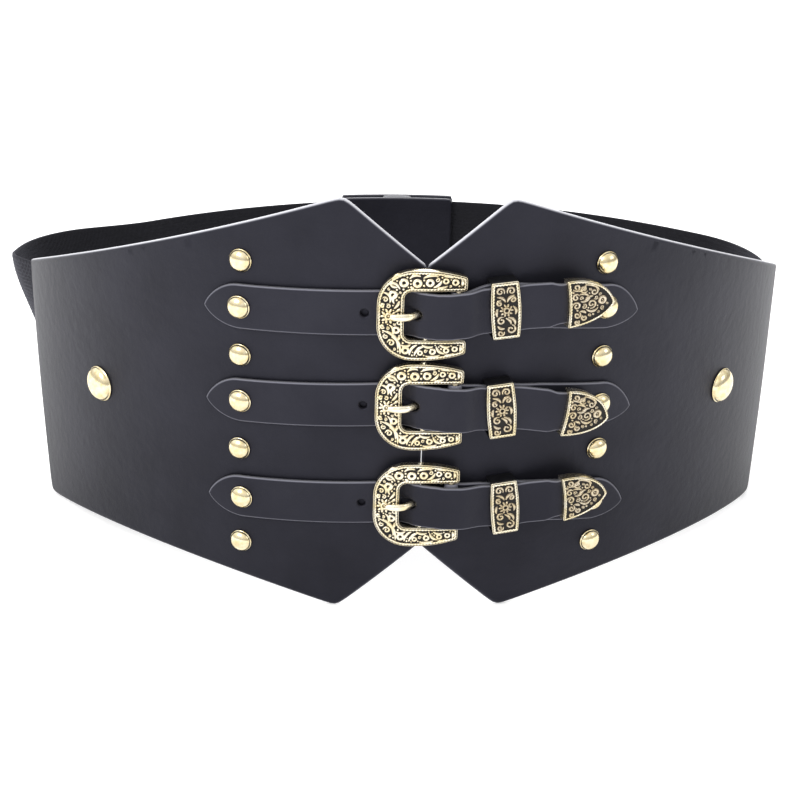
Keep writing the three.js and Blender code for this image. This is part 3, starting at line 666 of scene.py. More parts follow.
# Materials
def colour(value):
    """Linear RGBA of an sRGB hex colour."""
    parts = [int(value[i:i + 2], 16) / 255 for i in (0, 2, 4)]
    return [p / 12.92 if p <= 0.04045 else ((p + 0.055) / 1.055) ** 2.4 for p in parts] + [1]


class Look:
    """A material and a short way to join its nodes."""

    def __init__(self, name):
        self.material = bpy.data.materials.new(name)
        self.material.use_nodes = True
        self.tree = self.material.node_tree
        self.shader = self.tree.nodes["Principled BSDF"]
        self.flat = self.node("ShaderNodeAttribute", attribute_name="flat").outputs["Vector"]
        self.raised = self.node("ShaderNodeAttribute", attribute_name="raised").outputs["Fac"]

    def feed(self, socket, value):
        if isinstance(value, bpy.types.NodeSocket):
            self.tree.links.new(value, socket)
        else:
            socket.default_value = value

    def node(self, kind, inputs=(), **settings):
        made = self.tree.nodes.new(kind)
        for key, value in settings.items():
            setattr(made, key, value)
        for key, value in dict(inputs).items():
            self.feed(made.inputs[key], value)
        return made

    def noise(self, scale, detail=3, roughness=0.5, vector=None):
        """Noise over the flat layout, with scale in cells per millimetre."""
        return self.node("ShaderNodeTexNoise", {
            "Vector": vector or self.flat, "Scale": scale, "Detail": detail, "Roughness": roughness,
        }).outputs["Fac"]

    def stretched(self, s, n, z):
        return self.node("ShaderNodeMapping", {"Vector": self.flat, "Scale": (s, n, z)}).outputs["Vector"]

    def spread(self, value, low, high, new_low=0.0, new_high=1.0):
        return self.node("ShaderNodeMapRange", {
            0: value, 1: low, 2: high, 3: new_low, 4: new_high,
        }).outputs[0]

    def height_of(self, vector):
        return self.node("ShaderNodeSeparateXYZ", {0: vector}).outputs["Z"]

    def maths(self, operation, a, b):
        return self.node("ShaderNodeMath", {0: a, 1: b}, operation=operation).outputs[0]

    def mix(self, factor, a, b):
        return self.node("ShaderNodeMix", {0: factor, 6: a, 7: b}, data_type="RGBA").outputs[2]

    def bump(self, height, distance, strength=1.0, normal=None):
        inputs = {"Height": height, "Distance": distance * MM, "Strength": strength}
        if normal:
            inputs["Normal"] = normal
        return self.node("ShaderNodeBump", inputs).outputs["Normal"]

    def set(self, **values):
        for key, value in values.items():
            self.feed(self.shader.inputs[key.replace("_", " ")], value)
        return self.material


def make_leather(name, dark, pale, edge, shoulder_highlight, top_highlight_share, rough):
    """Smooth satin leather with a fine grain, a thin painted highlight line along the shoulder of its
    cut edges, and a pale painted highlight on its edges where they face up."""
    look = Look(name)
    clouds = look.noise(0.035, 3)
    body = look.mix(look.spread(clouds, 0.35, 0.65), colour(dark), colour(pale))
    rim = look.spread(look.raised, 0.15, 0.8)
    grain = look.node("ShaderNodeTexVoronoi", {
        "Vector": look.flat, "Scale": 1.9, "Randomness": 0.9,
    }, feature="SMOOTH_F1").outputs["Distance"]
    pores = look.noise(3.2, 4, 0.6)
    hide = look.noise(0.25, 2)
    surface = look.bump(hide, 0.5, 0.35, look.bump(pores, 0.04, 0.6, look.bump(grain, 0.05, 0.5)))
    matt = look.spread(pores, 0.3, 0.7, rough - 0.05, rough + 0.07)
    gloss = look.maths("ADD", matt, look.spread(rim, 0, 1, 0, -0.14))
    # painted shade: less shine towards the hem darkens the lower parts as if shaded
    shine = look.spread(look.height_of(look.flat), 0, 100, *LEATHER_SHINE)
    # painted highlight: a thin pale line along the shoulder of the cut edges, where light catches the
    # rounding
    shoulder_highlight_mask = look.maths("MULTIPLY", look.spread(look.raised, 0.3, 0.5), look.spread(look.raised, 0.8, 0.6))
    upward = look.height_of(look.node("ShaderNodeNewGeometry").outputs["Normal"])
    # painted highlight: pale colour on the cut edges that face up, where the top light glints
    painted_top_highlight = look.maths("MULTIPLY", look.spread(upward, 0.3, 0.7), look.spread(look.raised, 0.35, 0.7))
    lined = look.mix(shoulder_highlight_mask, look.mix(rim, body, colour(edge)), colour(shoulder_highlight))
    return look.set(
        Base_Color=look.mix(look.maths("MULTIPLY", painted_top_highlight, top_highlight_share), lined, colour(PAINTED_TOP_EDGE_HIGHLIGHT)),
        Roughness=gloss, Normal=surface, Specular_IOR_Level=shine, Specular_Tint=colour("e2e2fa"),
    )


def make_webbing(name):
    """Black elastic webbing: ribs in the mesh, knitted threads across them in the bump."""
    look = Look(name)
    threads = look.node("ShaderNodeTexWave", {
        "Vector": look.flat, "Scale": 0.55, "Distortion": 1.2, "Detail": 2, "Detail Scale": 2,
    }, bands_direction="X").outputs["Fac"]
    fuzz = look.noise(2.6, 4, 0.7, look.stretched(0.5, 1, 2))
    shade = look.mix(look.spread(fuzz, 0.35, 0.7), colour("101013"), colour("24242a"))
    surface = look.bump(fuzz, 0.12, 0.8, look.bump(threads, 0.16, 0.7))
    return look.set(
        Base_Color=shade, Roughness=0.92, Normal=surface,
        Specular_IOR_Level=0.25, Sheen_Weight=0.35, Sheen_Roughness=0.45, Sheen_Tint=colour("c8c8d8"),
    )


def make_cast_gold(name):
    """Pale gold, bright on the raised work and dark with age in the low places."""
    look = Look(name)
    wear = look.noise(1.4, 4, 0.6)
    height = look.maths("ADD", look.raised, look.spread(wear, 0.3, 0.7, -0.14, 0.14))
    clean = look.spread(height, 0.15, 0.5)
    bright = look.mix(look.spread(look.noise(0.22, 2), 0.38, 0.62), colour("f4ecd6"), colour("e9dbb4"))
    tone = look.mix(look.spread(height, 0.42, 0.85), colour("9c8a70"), bright)
    pits = look.noise(5, 3)
    matt = look.spread(clean, 0, 1, 0.62, 0.24)
    return look.set(
        Base_Color=look.mix(clean, colour("120e0b"), tone),
        Metallic=look.spread(clean, 0, 1, 0.25, 1.0),
        Roughness=look.maths("ADD", matt, look.spread(pits, 0.3, 0.7, -0.04, 0.06)),
        Normal=look.bump(pits, 0.05, 0.4),
    )


def make_near_black_metal(name):
    """Near-black metal for the keepers' hidden sides."""
    look = Look(name)
    stains = look.noise(0.8, 4)
    return look.set(
        Base_Color=look.mix(look.spread(stains, 0.4, 0.75), colour("141417"), colour("202024")),
        Metallic=0.6,
        Roughness=look.spread(stains, 0.3, 0.7, 0.45, 0.65),
        Normal=look.bump(stains, 0.05, 0.3),
    )


def make_polished_gold(name):
    """Polished pale gold with faint fingermarks."""
    look = Look(name)
    marks = look.noise(0.5, 3)
    scratches = look.noise(2.5, 2, 0.5, look.stretched(0.3, 1, 3))
    return look.set(
        Base_Color=look.mix(look.spread(marks, 0.35, 0.65), colour("efe3c2"), colour("dfcc9c")),
        Metallic=1.0,
        Roughness=look.spread(marks, 0.3, 0.7, 0.13, 0.24),
        Normal=look.bump(scratches, 0.02, 0.3),
    )


# The fifth argument is the colour of the painted shoulder highlight, the sixth the share of the painted
# top-edge highlight
PANEL_LEATHER = make_leather("panel_leather", "17171c", "1e1e24", "2a2a31", "303038", 0.85, 0.46)
STRAP_LEATHER = make_leather("strap_leather", "1a1a20", "222228", "26262d", "66666f", 0.12, 0.42)
BACK_LEATHER = make_leather("back_leather", "17171c", "1e1e24", "1c1c22", "26262c", 0.06, 0.5)
WEBBING = make_webbing("elastic_webbing")
CAST_GOLD = make_cast_gold("cast_gold")
NEAR_BLACK_METAL = make_near_black_metal("near_black_metal")
POLISHED_GOLD = make_polished_gold("polished_gold")


def add_object(name, data):
    made = bpy.data.objects.new(name, data)
    bpy.context.scene.collection.objects.link(made)
    return made


def finish_piece(node, look, form, slot, *materials):
    """Wrap a form round the waist as an object that stands for a CAD node."""
    name = f"{node}_{look}"
    flat = np.vstack(form.points)
    mesh = bpy.data.meshes.new(name)
    mesh.from_pydata(wrap(flat).tolist(), [], form.faces)
    for material in materials:
        mesh.materials.append(material)
    mesh.polygons.foreach_set("material_index", form.looks)
    mesh.polygons.foreach_set("use_smooth", [True] * len(mesh.polygons))
    layout = mesh.attributes.new("flat", "FLOAT_VECTOR", "POINT")
    layout.data.foreach_set("vector", flat.ravel())
    raised = mesh.attributes.new("raised", "FLOAT", "POINT")
    raised.data.foreach_set("value", np.concatenate(form.raised))
    mesh.update()
    piece = add_object(name, mesh)
    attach(piece, "root")
    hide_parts(node)


def outward(form):
    """Turn a form's faces over."""
    form.faces = [face[::-1] for face in form.faces]
    return form


# Front panels
def panel_top(s):
    rising = line((0, NOTCH_TOP), PEAK_TOP, s)
    falling = line(PEAK_TOP, OUTER_TOP, s)
    return soft_min(rising, falling, PEAK_ROUNDING) + PEAK_ROUNDING / 2


def panel_bottom(s):
    middle = (PEAK_BOTTOM_S + OUTER_BOTTOM_S) / 2
    reach = (OUTER_BOTTOM_S - PEAK_BOTTOM_S) / 2
    arch = HEM_ARCH * (1 - ((s - middle) / reach) ** 2) - PEAK_ROUNDING
    arch = np.where(s < OUTER_BOTTOM_S + 4, arch, 0)
    notch = line((0, NOTCH_BOTTOM), (PEAK_BOTTOM_S, -PEAK_ROUNDING), s)
    outer = line((OUTER_BOTTOM_S, 0), OUTER_TOP, s)
    hem = soft_max(notch, arch, PEAK_ROUNDING)
    return np.maximum(soft_max(hem, outer, CORNER_ROUNDING), 0)


def panel_outline():
    end = OUTER_TOP[0] - 1.2
    s = np.linspace(CENTRE_SLIT / 2, end, 260)
    under = np.stack([s, panel_bottom(s)], 1)
    over = np.stack([s, panel_top(s)], 1)[::-1]
    corner = (OUTER_TOP[0] + 0.4, OUTER_TOP[1] + 0.6)
    nose = bezier(8, under[-1], corner, over[0])[1:-1]
    return resample(round_corners(np.vstack([under, nose, over]), 0.8, SHARP), PANEL_SPACING)


def make_panel(side):
    outline = anticlockwise(panel_outline() * [side["sign"], 1])
    return plate([outline], rounded_edge(-PANEL_WALL, 0, PANEL_EDGE), PANEL_MESH)


# Elastic bands
def make_elastic(side):
    end = WAIST_HALF - TAB_CORE_HALF - GAP
    near, far = np.arange(ELASTIC_START, FLARE_EASE, 1.6), np.arange(FLARE_EASE, end, 2.6)
    stations = np.concatenate([near, far, [end]])
    up = np.arange(0, 1, 1 / round(ELASTIC_TOP / RIB_PITCH * 4))
    rib = RIB_DEPTH * np.abs(np.sin(up * math.pi * ELASTIC_TOP / RIB_PITCH))
    edge = RIB_DEPTH + 0.12
    over = [(u, ELASTIC_WALL - edge + r) for u, r in zip(up, rib)]
    under = [(u, edge - r) for u, r in zip(up, rib)][::-1]
    section = np.array(over + [(1, ELASTIC_WALL * 0.6), (1, ELASTIC_WALL * 0.4)] + under)
    middle, reach = (ELASTIC_START + end) / 2, (end - ELASTIC_START) / 2
    high = ELASTIC_TOP - side["sag"] * (1 - ((stations - middle) / reach) ** 2)
    bulge = smooth(FLARE_START, FLARE_FULL, stations) * (1 - smooth(FLARE_EASE, FLARE_END, stations))
    z = high[:, None] * section[None, :, 0]
    flare = side["flare"] * bulge[:, None] * smooth(FLARE_FROM_Z, ELASTIC_TOP, z)
    n = ELASTIC_LOW + section[None, :, 1] + flare
    s = np.broadcast_to(stations[:, None] * side["sign"], z.shape)
    faces = grid_faces(len(stations), len(section), closed_columns=True)
    form = Form(np.dstack([s, n, z]).reshape(-1, 3), faces)
    return outward(form) if side["sign"] > 0 else form


# Back tab
def make_back_panel():
    depth = 2 * PANEL_WALL + ELASTIC_WALL + 2 * GAP

    def leaf_of(half, low, high, rounding):
        corners = [(-half, 0), (half, 0), (half, TAB_TOP), (-half, TAB_TOP)]
        outline = resample(round_corners(corners, 1.5), PANEL_SPACING) + [WAIST_HALF, 0]
        return plate([outline], rounded_edge(low, high, rounding), PANEL_MESH)

    form = leaf_of(TAB_HALF_WIDTH, -PANEL_WALL, 0, TAB_EDGE)
    form.join(leaf_of(TAB_HALF_WIDTH, -depth, -depth + PANEL_WALL, TAB_EDGE))
    form.join(leaf_of(TAB_CORE_HALF, -depth + PANEL_WALL - 0.1, -PANEL_WALL + 0.1, 0.1))
    return form


# Straps
CLIMB = [(0.04, 0), (0.15, 0.16), (0.31, 0.5), (0.475, 0.7), (0.64, 0.85), (0.86, 1)]
CLOSED_EDGE = FRAME_LEFT + FRAME_SIDE
KEEPER_REACH = KEEPER_WIDTH / 2 + KEEPER_EASE
TURN_AT = 4


def tip_strap_low(row, s):
    way, high = BAR_S - CLOSED_EDGE, BRIDGE_LOW - STRAP_LOW
    climb = [(CLOSED_EDGE + along * way, STRAP_LOW + up * high) for along, up in CLIMB]
    return eased(climb + [
        (BAR_S + EYE_RADIUS, BRIDGE_LOW),
        (row["keeper"] - KEEPER_REACH, OVER_BUCKLE_STRAP),
        (row["keeper"] + KEEPER_REACH, OVER_BUCKLE_STRAP),
        (row["tip"] - 1, TIP_STRAP_END_LOW),
    ], s)


def tip_strap_z(row, s):
    return straight([
        (-STUD_COLUMN, row["left"]), (CLOSED_EDGE, row["buckle_z"]), (TURN_AT, row["buckle_z"]),
        (row["keeper"], row["keeper_z"]), (row["keeper"] + KEEPER_WIDTH / 2, row["keeper_z"]),
        (row["tip"] + TIP_LENGTH / 2, row["tip_z"]),
    ], s)


def buckle_strap_z(row, s):
    return straight([
        (BAR_S + EYE_RADIUS, row["buckle_z"]), (row["keeper"] - KEEPER_WIDTH / 2, row["keeper_z"]),
        (row["keeper"] + KEEPER_WIDTH / 2, row["keeper_z"]), (STUD_COLUMN, row["right"]),
    ], s)


def point_shape(side, s):
    """Half width and drop of a strap near its pointed end."""
    t = np.clip((np.abs(s) - STUD_COLUMN) / (STRAP_END - STUD_COLUMN), 0, 1)
    return STRAP_WIDTH / 2 * np.maximum(1 - t * t, 0) ** 0.75, side["drop"] * t * t


def strap_outline(side, s, z, half):
    point, drop = point_shape(side, s)
    reach = np.maximum(np.minimum(half, point), 0.05)
    under = np.stack([s, z - drop - reach], 1)
    over = np.stack([s, z - drop + reach], 1)[::-1]
    return resample(round_corners(np.vstack([under, over]), 0.9, SHARP), STRAP_SPACING)


def strap_plate(outline, holes, low):
    loops = [outline] + [anticlockwise(hole)[::-1] for hole in holes]
    return plate(loops, rounded_edge(0, STRAP_WALL, STRAP_EDGE), STRAP_MESH, lambda s, z: low(s))


def round_slot(a, b, z, width):
    r = width / 2
    ends = [(b - r, -90), (a + r, 90)]
    turns = [np.radians(start + np.linspace(0, 180, 9)) for _, start in ends]
    return np.vstack([
        np.stack([at + r * np.cos(turn), z + r * np.sin(turn)], 1) for (at, _), turn in zip(ends, turns)
    ])


def make_tip_strap(row):
    neck = TIP_HEIGHT / 2 - TIP_RIM - GAP
    spots = np.linspace(-STRAP_END, row["tip"] + TIP_HELD, 220)
    half = straight([(row["tip"] - NECK[0], STRAP_WIDTH / 2), (row["tip"] - NECK[1], neck)], spots)
    outline = strap_outline(LEFT, spots, tip_strap_z(row, spots), half)
    start, end, width = PRONG_HOLE
    spare = circle(SPARE_HOLE_S, tip_strap_z(row, SPARE_HOLE_S), SPARE_HOLE_RADIUS)
    holes = [round_slot(start, end, row["buckle_z"], width), spare]
    return strap_plate(outline, holes, lambda s: tip_strap_low(row, s))


def ring(s, n, z, inner, outer, width, sides=28, bevel=0.35):
    """A short tube round an upright axis."""
    half = width / 2
    section = [
        (inner, -half + bevel), (inner + bevel, -half), (outer - bevel, -half), (outer, -half + bevel),
        (outer, half - bevel), (outer - bevel, half), (inner + bevel, half), (inner, half - bevel),
    ]
    points = [
        (s + r * math.cos(a), n + r * math.sin(a), z + up) for a in full_turn(sides) for r, up in section
    ]
    faces = grid_faces(sides, len(section), closed_rows=True, closed_columns=True)
    return Form(points, faces, 0, RING_RAISED)


def make_buckle_strap(row):
    fold = BAR_S + EYE_RADIUS
    path = [
        (fold, BAR_N - STRAP_WALL / 2), (row["keeper"] - KEEPER_REACH, UNDER_KEEPER),
        (row["keeper"] + KEEPER_REACH, UNDER_KEEPER), (row["keeper"] + LIE_DOWN, STRAP_LOW),
    ]
    spots = np.linspace(fold - 0.9, STRAP_END, 130)
    outline = strap_outline(RIGHT, spots, buckle_strap_z(row, spots), STRAP_WIDTH / 2)
    form = strap_plate(outline, [], lambda s: eased(path, s))
    slit = PRONG_EYE_WIDTH + 3 * GAP
    length = (STRAP_WIDTH - slit) / 2
    for side in (-1, 1):
        z = row["buckle_z"] + side * (slit + length) / 2
        form.join(ring(BAR_S, BAR_N, z, HOLE_RADIUS, EYE_RADIUS, length))
    return form


# Buckle frame
def frame_outline():
    side = FRAME_LEFT + FRAME_SIDE
    inner = FRAME_INNER_CORNER
    centre = FRAME_LEFT + FRAME_CORNER

    def arc(u, v, r, start, end, count=14):
        angle = np.radians(np.linspace(start, end, count))
        return np.stack([u + r * np.cos(angle), v + r * np.sin(angle)], 1)

    def arm(sign):
        middle = ((FRAME_RIGHT + FRAME_CROWN_AT) / 2, sign * FRAME_OUTER)
        return bezier(10, (FRAME_RIGHT, sign * FRAME_ARM_OUTER), middle, (FRAME_CROWN_AT, sign * FRAME_OUTER))

    loop = np.vstack([
        [(FRAME_RIGHT, FRAME_OPENING)], arm(1),
        arc(centre, FRAME_OUTER - FRAME_CORNER, FRAME_CORNER, 90, 180),
        arc(centre, FRAME_CORNER - FRAME_OUTER, FRAME_CORNER, 180, 270),
        arm(-1)[::-1], [(FRAME_RIGHT, -FRAME_OPENING)],
        arc(side + inner, inner - FRAME_OPENING, inner, 270, 180, 8),
        arc(side + inner, FRAME_OPENING - inner, inner, 180, 90, 8),
    ])
    return resample(round_corners(anticlockwise(loop), 1.2, 40), 0.55)


FRAME_STROKES = {
    "rosette": [
        (-12.9, -0.2, 2.9),
    ],
    "eye": [
        (-11.6, 7.7, 1.75), (-8, 12.2, 1.75), (-3.5, 12.1, 1.75), (0.7, 12.3, 1.6), (6, 12.9, 1.2),
        (9.2, 12.4, 1.35), (-10.3, -5.2, 1.5), (-9.3, -2.4, 0.95), (-7, -12.7, 1.6), (-2, -13.6, 1.1),
        (2.2, -13.1, 1.3), (6.8, -12.7, 1.2), (9.7, -12.2, 1.2),
    ],
    "leaf": [
        (-14.4, 10.6, -9.2, 9.6, 0.75), (-15.2, 8.6, -12.6, 4.6, 0.6), (-9.6, 8.2, -11, 4.3, -0.6),
        (-9.4, 5.6, -11.2, 2.6, 0.2), (-9.1, 2.9, -10.6, 1.5, 0.2), (-11.9, 13.4, -7.6, 14.6, 0.5),
        (-12.6, 12, -10, 10.6, -0.4), (-6.2, 13.6, -2.4, 14.5, 0.5), (-6, 10.6, -4.6, 9.9, 0.3),
        (-1.6, 13.9, 3.6, 14.6, 0.28), (1.8, 10.6, 4.6, 13.2, -0.3), (3.1, 10.4, 6.6, 11.2, -0.2),
        (5.2, 14.6, 8.6, 14, 0.2), (11.3, 10.7, 11.3, 13.6, -0.2), (-12.6, -3.4, -11.6, -7.2, 0.5),
        (-9.2, -7, -10, -9.2, 0.3), (-15.1, -5.4, -8.8, -14.6, 0.42), (-13.4, -5.6, -9.6, -12.6, 0.36),
        (-11.8, -7.8, -9, -11.2, 0.3), (-8.6, -10.7, -5.2, -10.4, -0.4), (-5.6, -14.7, -3, -10.6, 0.35),
        (-4, -14.9, -0.2, -11, 0.35), (-1.4, -10.6, 2.4, -11.2, -0.3), (-0.2, -14.8, 4.8, -14.4, -0.2),
        (3.4, -11.2, 6.4, -14, -0.35), (4.6, -10.6, 8, -11.2, -0.3), (6.2, -14.6, 9.4, -13.8, -0.2),
        (11.5, -10.7, 11.5, -13.4, 0.2),
    ],
    "curl": [
        (-14.9, 3.6, 0.85, 40, 330), (-14.9, -3.9, 0.85, 330, -330),
    ],
}


def make_buckle_frame(row):
    outline = frame_outline()
    rim = 0.3
    ground = FRAME_FACE - 0.15
    profile = [
        (rim + 0.25, ground, 0), (rim, ground, 0.1), (rim * 0.8, FRAME_FACE + 0.1, 0.7),
        (0.1, FRAME_FACE, 1), (0, FRAME_FACE - 0.3, 1), (0, FRAME_LOW + 0.5, 0.9),
        (0.15, FRAME_LOW + 0.15, 0.7), (0.5, FRAME_LOW, 0.5),
    ]
    form = plate([outline], profile, CAST_MESH)
    form.join(rope(outline, 0.85, lambda u, v: ground + ROPE_LIFT))
    form.join(engrave(FRAME_STROKES, lambda u, v: ground, outline, FRAME_MARGIN))
    form.join(ring(BAR_S, BAR_N, 0, 0.02, BAR_RADIUS, 2 * FRAME_OPENING + 2, 20, 0.01))
    return form, seat(0, row["buckle_z"], 0)


# Prong: shares of the way to the tip, of the height to the closed side, of width and depth
TONGUE = np.array([
    (0.08, 0.12, 1, 0.9), (0.2, 0, 1, 1), (0.42, 0, 1, 1), (0.53, 0.09, 1, 1), (0.63, 0.5, 1, 1),
    (0.72, 0.87, 1, 0.95), (0.82, 1, 1, 0.85), (0.93, 0.98, 0.85, 0.75), (1, 0.95, 0.55, 0.45),
])


def make_prong(row):
    sides = 16
    low = 2 * GAP + PRONG_DEEP / 2
    high = FRAME_FACE + RELIEF + GAP + PRONG_DEEP * 0.43
    at = np.linspace(0, len(TONGUE) - 1, 50)
    along, up, width, deep = [np.interp(at, range(len(TONGUE)), column) for column in TONGUE.T]
    for _ in range(3):
        up[1:-1] = (up[:-2] + 2 * up[1:-1] + up[2:]) / 4
    s = BAR_S + along * (PRONG_TIP - BAR_S)
    n = low + up * (high - low)
    ds, dn = np.gradient(s), np.gradient(n)
    length = np.hypot(ds, dn)
    angle = full_turn(sides)
    lift = deep[:, None] * PRONG_DEEP / 2 * np.sin(angle)
    across = width[:, None] * PRONG_WIDTH / 2 * np.cos(angle)
    points = np.dstack([
        s[:, None] + (dn / length)[:, None] * lift, n[:, None] - (ds / length)[:, None] * lift, across,
    ]).reshape(-1, 3)
    faces = grid_faces(len(at), sides, closed_columns=True)
    faces += [tuple(range(sides))[::-1], tuple(range(len(points) - sides, len(points)))]
    form = Form(points, faces)
    form.join(ring(BAR_S, BAR_N, 0, HOLE_RADIUS, PRONG_EYE_RADIUS, PRONG_EYE_WIDTH))
    return form, seat(0, row["buckle_z"], 0)


def seat(s, z, lean):
    """Move that turns points (u, n, v) anticlockwise by lean degrees and carries them to s, z."""
    c, d = math.cos(math.radians(lean)), math.sin(math.radians(lean))

    def move(points):
        u, n, v = points.T
        return np.stack([s + u * c - v * d, n, z + u * d + v * c], 1)

    return move


KEEPER_STROKES = {
    "curl": [
        (-1.9, 7.3, 1.5, 330, 420), (1.9, 7.3, 1.5, 210, -420), (2.3, 4.1, 1.1, 120, -380),
        (-2.2, 3.1, 1.1, 60, 380), (-1.7, -3.4, 1.5, 60, 400), (1.5, -6.9, 1.7, 80, -400),
        (-2, -8, 1.2, 20, -380),
    ],
    "leaf": [
        (-3.1, 5.4, -0.2, 3.2, 0.4), (3.1, 5.6, 0.4, 3.2, -0.4), (2.4, 1.6, 3, -1.6, 0.4),
        (-2.8, 1.2, -3, -1.9, -0.3), (0.6, -2.3, 2.9, -5.6, 0.45), (-0.3, -2.6, 1.5, -5.2, 0.4),
        (-3, -5.2, -0.6, -6.4, -0.4),
    ],
    "rosette": [
        (0.1, 0.3, 2.5),
    ],
}


def make_keeper(row):
    half, side = KEEPER_HEIGHT / 2, KEEPER_WIDTH / 2
    v = np.linspace(-half, half, 24)
    bow = side - KEEPER_BULGE + KEEPER_BULGE * np.cos(v / half * math.pi / 2)
    outline = np.vstack([np.stack([bow, v], 1), np.stack([-bow, v], 1)[::-1]])
    outline = resample(round_corners(outline, 0.7, SHARP), 0.5)

    def crown(u, v):
        return KEEPER_CROWN / 2 * (1 - (np.asarray(v) / half) ** 2)

    ground = KEEPER_FACE - 0.1
    profile = [
        (0.6, ground, 0), (0.35, ground, 0.1), (0.25, KEEPER_FACE + 0.1, 0.7), (0.1, KEEPER_FACE, 1),
        (0, KEEPER_FACE - 0.25, 1), (0, KEEPER_INSIDE + 0.3, 0.9), (0.3, KEEPER_INSIDE, 0.6),
    ]
    form = plate([outline], profile, CAST_MESH, crown)
    form.join(rope(outline, 0.8, lambda u, v: ground + ROPE_LIFT + crown(u, v)))
    form.join(dulled(carve(KEEPER_STROKES, lambda u, v: ground + crown(u, v)), STROKE_DIMMING))
    depth = side - 0.5
    wall_at, back_at, top = half - KEEPER_WALL, GAP + KEEPER_BACK, KEEPER_INSIDE + 0.3
    band = [
        (-half, top), (-half, GAP), (half, GAP), (half, top),
        (wall_at, top), (wall_at, back_at), (-wall_at, back_at), (-wall_at, top),
    ]
    edge = rounded_edge(-depth, depth, 0.15, 2, 0.02)
    loop = plate([resample(round_corners(band, 0.3), 0.5)], edge, CAST_MESH, looks=(1, 1, 1))
    form.join(outward(loop), lambda points: points[:, [1, 2, 0]])
    return form, seat(row["keeper"], row["keeper_z"], row["lean"])


TIP_STROKES = {
    "curl": [
        (3.2, 6.1, 1.35, 200, 400), (5.9, 5.1, 1.45, 330, -400), (9.6, 3.6, 1.4, 60, -380),
        (2.9, 2.4, 1.35, 20, 400), (3.1, -0.8, 1.5, 170, -420), (8.6, -0.9, 1.7, 250, 430),
        (3.3, -4.2, 1.3, 60, -400), (5.9, -5.6, 1.15, 120, 380), (3.1, -6.9, 0.95, 40, -380),
    ],
    "leaf": [
        (3.4, 4.6, 6.8, 6.9, -0.35), (6.6, 6.5, 11.6, 3.6, 0.3), (4.2, 3.2, 7.6, 2.2, 0.35),
        (4.6, 0.6, 8.2, 1.7, -0.3), (6.2, -0.2, 9.4, 1.9, 0.5), (6.6, -2.6, 11.2, -2.6, -0.5),
        (4.4, -3.1, 6.6, -4.2, 0.35), (1.6, 4.9, 2.1, 3.9, 0.2),
    ],
    "eye": [
        (12.6, -0.2, 1.75),
    ],
}


def tip_outline():
    """Half-oval sides, bowed by shares of the length and height, and a hollow base."""
    half = TIP_HEIGHT / 2
    apex = (TIP_LENGTH, -TIP_APEX_DROP)
    under = bezier(24, (0, -half), (TIP_LENGTH * 0.48, -half), (TIP_LENGTH * 0.88, -half * 0.72), apex)
    over = bezier(24, apex, (TIP_LENGTH * 0.9, half * 0.5), (TIP_LENGTH * 0.56, half), (0, half))
    base = bezier(24, (0, half), (TIP_HOLLOW * 2, 0), (0, -half))
    return resample(round_corners(np.vstack([under, over[1:], base[1:-1]]), 0.5, 40), 0.45)


def make_strap_tip(row):
    outline = tip_outline()
    ground = TIP_FACE - 0.1
    profile = [
        (0.45, ground, 0), (0.25, ground, 0.1), (0.18, TIP_FACE + 0.1, 0.7), (0.1, TIP_FACE, 1),
        (0, TIP_FACE - 0.3, 1), (0.1, TIP_LOW + 0.8, 0.8), (0.3, TIP_LOW + 0.2, 0.7), (0.6, TIP_LOW, 0.5),
    ]
    form = plate([outline], profile, CAST_MESH)
    form.join(rope(outline, 0.6, lambda u, v: ground + ROPE_LIFT, 0.8))
    form.join(dulled(engrave(TIP_STROKES, lambda u, v: ground, outline, TIP_MARGIN), STROKE_DIMMING))
    run = row["tip"] + TIP_LENGTH / 2 - (row["keeper"] + KEEPER_WIDTH / 2)
    slope = math.degrees(math.atan2(row["tip_z"] - row["keeper_z"], run))
    return form, seat(row["tip"], float(tip_strap_z(row, row["tip"])), slope)


# Studs
def make_stud(size, s, n, z):
    """A domed stud with a thin lip, square to the belt at s."""
    radius, height = size["radius"], size["height"]
    lip, neck = 0.25, 0.94 * radius
    turn = np.radians(np.linspace(4, 88, 14))
    profile = [(radius * 0.9, 0), (radius, 0.05), (radius, lip), (neck + 0.05, lip + 0.12)]
    profile += [(neck * math.cos(t), lip + (height - lip) * math.sin(t)) for t in turn]
    return spin(s, n, z, profile + [(POINT, height)], 48)


# Assembly
for side in SIDES:
    finish_piece(f"panel_{side['name']}", "leather", make_panel(side), "panel_leather", PANEL_LEATHER)
    finish_piece(f"elastic_{side['name']}", "webbing", make_elastic(side), "elastic", WEBBING)
finish_piece("back_panel", "leather", make_back_panel(), "panel_leather", BACK_LEATHER)

for row in ROWS:
    for kind, make in (("tip_strap", make_tip_strap), ("buckle_strap", make_buckle_strap)):
        finish_piece(f"{kind}_{row['name']}", "leather", make(row), "strap_leather", STRAP_LEATHER)
    for kind, make in (
        ("buckle_frame", make_buckle_frame), ("prong", make_prong),
        ("keeper", make_keeper), ("strap_tip", make_strap_tip),
    ):
        made, move = make(row)
        cast = Form()
        cast.join(made, move)
        finish_piece(f"{kind}_{row['name']}", "cast", cast, "antique_gold", CAST_GOLD, NEAR_BLACK_METAL)

for side in SIDES:
    rivets = [(STUD_COLUMN, row[side["name"]], STRAP_TOP) for row in ROWS]
    column = [(s, z, 0) for s, z in PANEL_STUDS] + rivets
    for i, (s, z, on) in enumerate(sorted(column, key=lambda at: -at[1])):
        stud = make_stud(STUD, side["sign"] * s, on + GAP, z)
        finish_piece(f"stud_{side['name']}_{i + 1}", "dome", stud, "stud_gold", POLISHED_GOLD)
    stud = make_stud(SIDE_STUD, side["sign"] * SIDE_STUD_AT[0], GAP, SIDE_STUD_AT[1])
    finish_piece(f"side_stud_{side['name']}", "dome", stud, "stud_gold", POLISHED_GOLD)


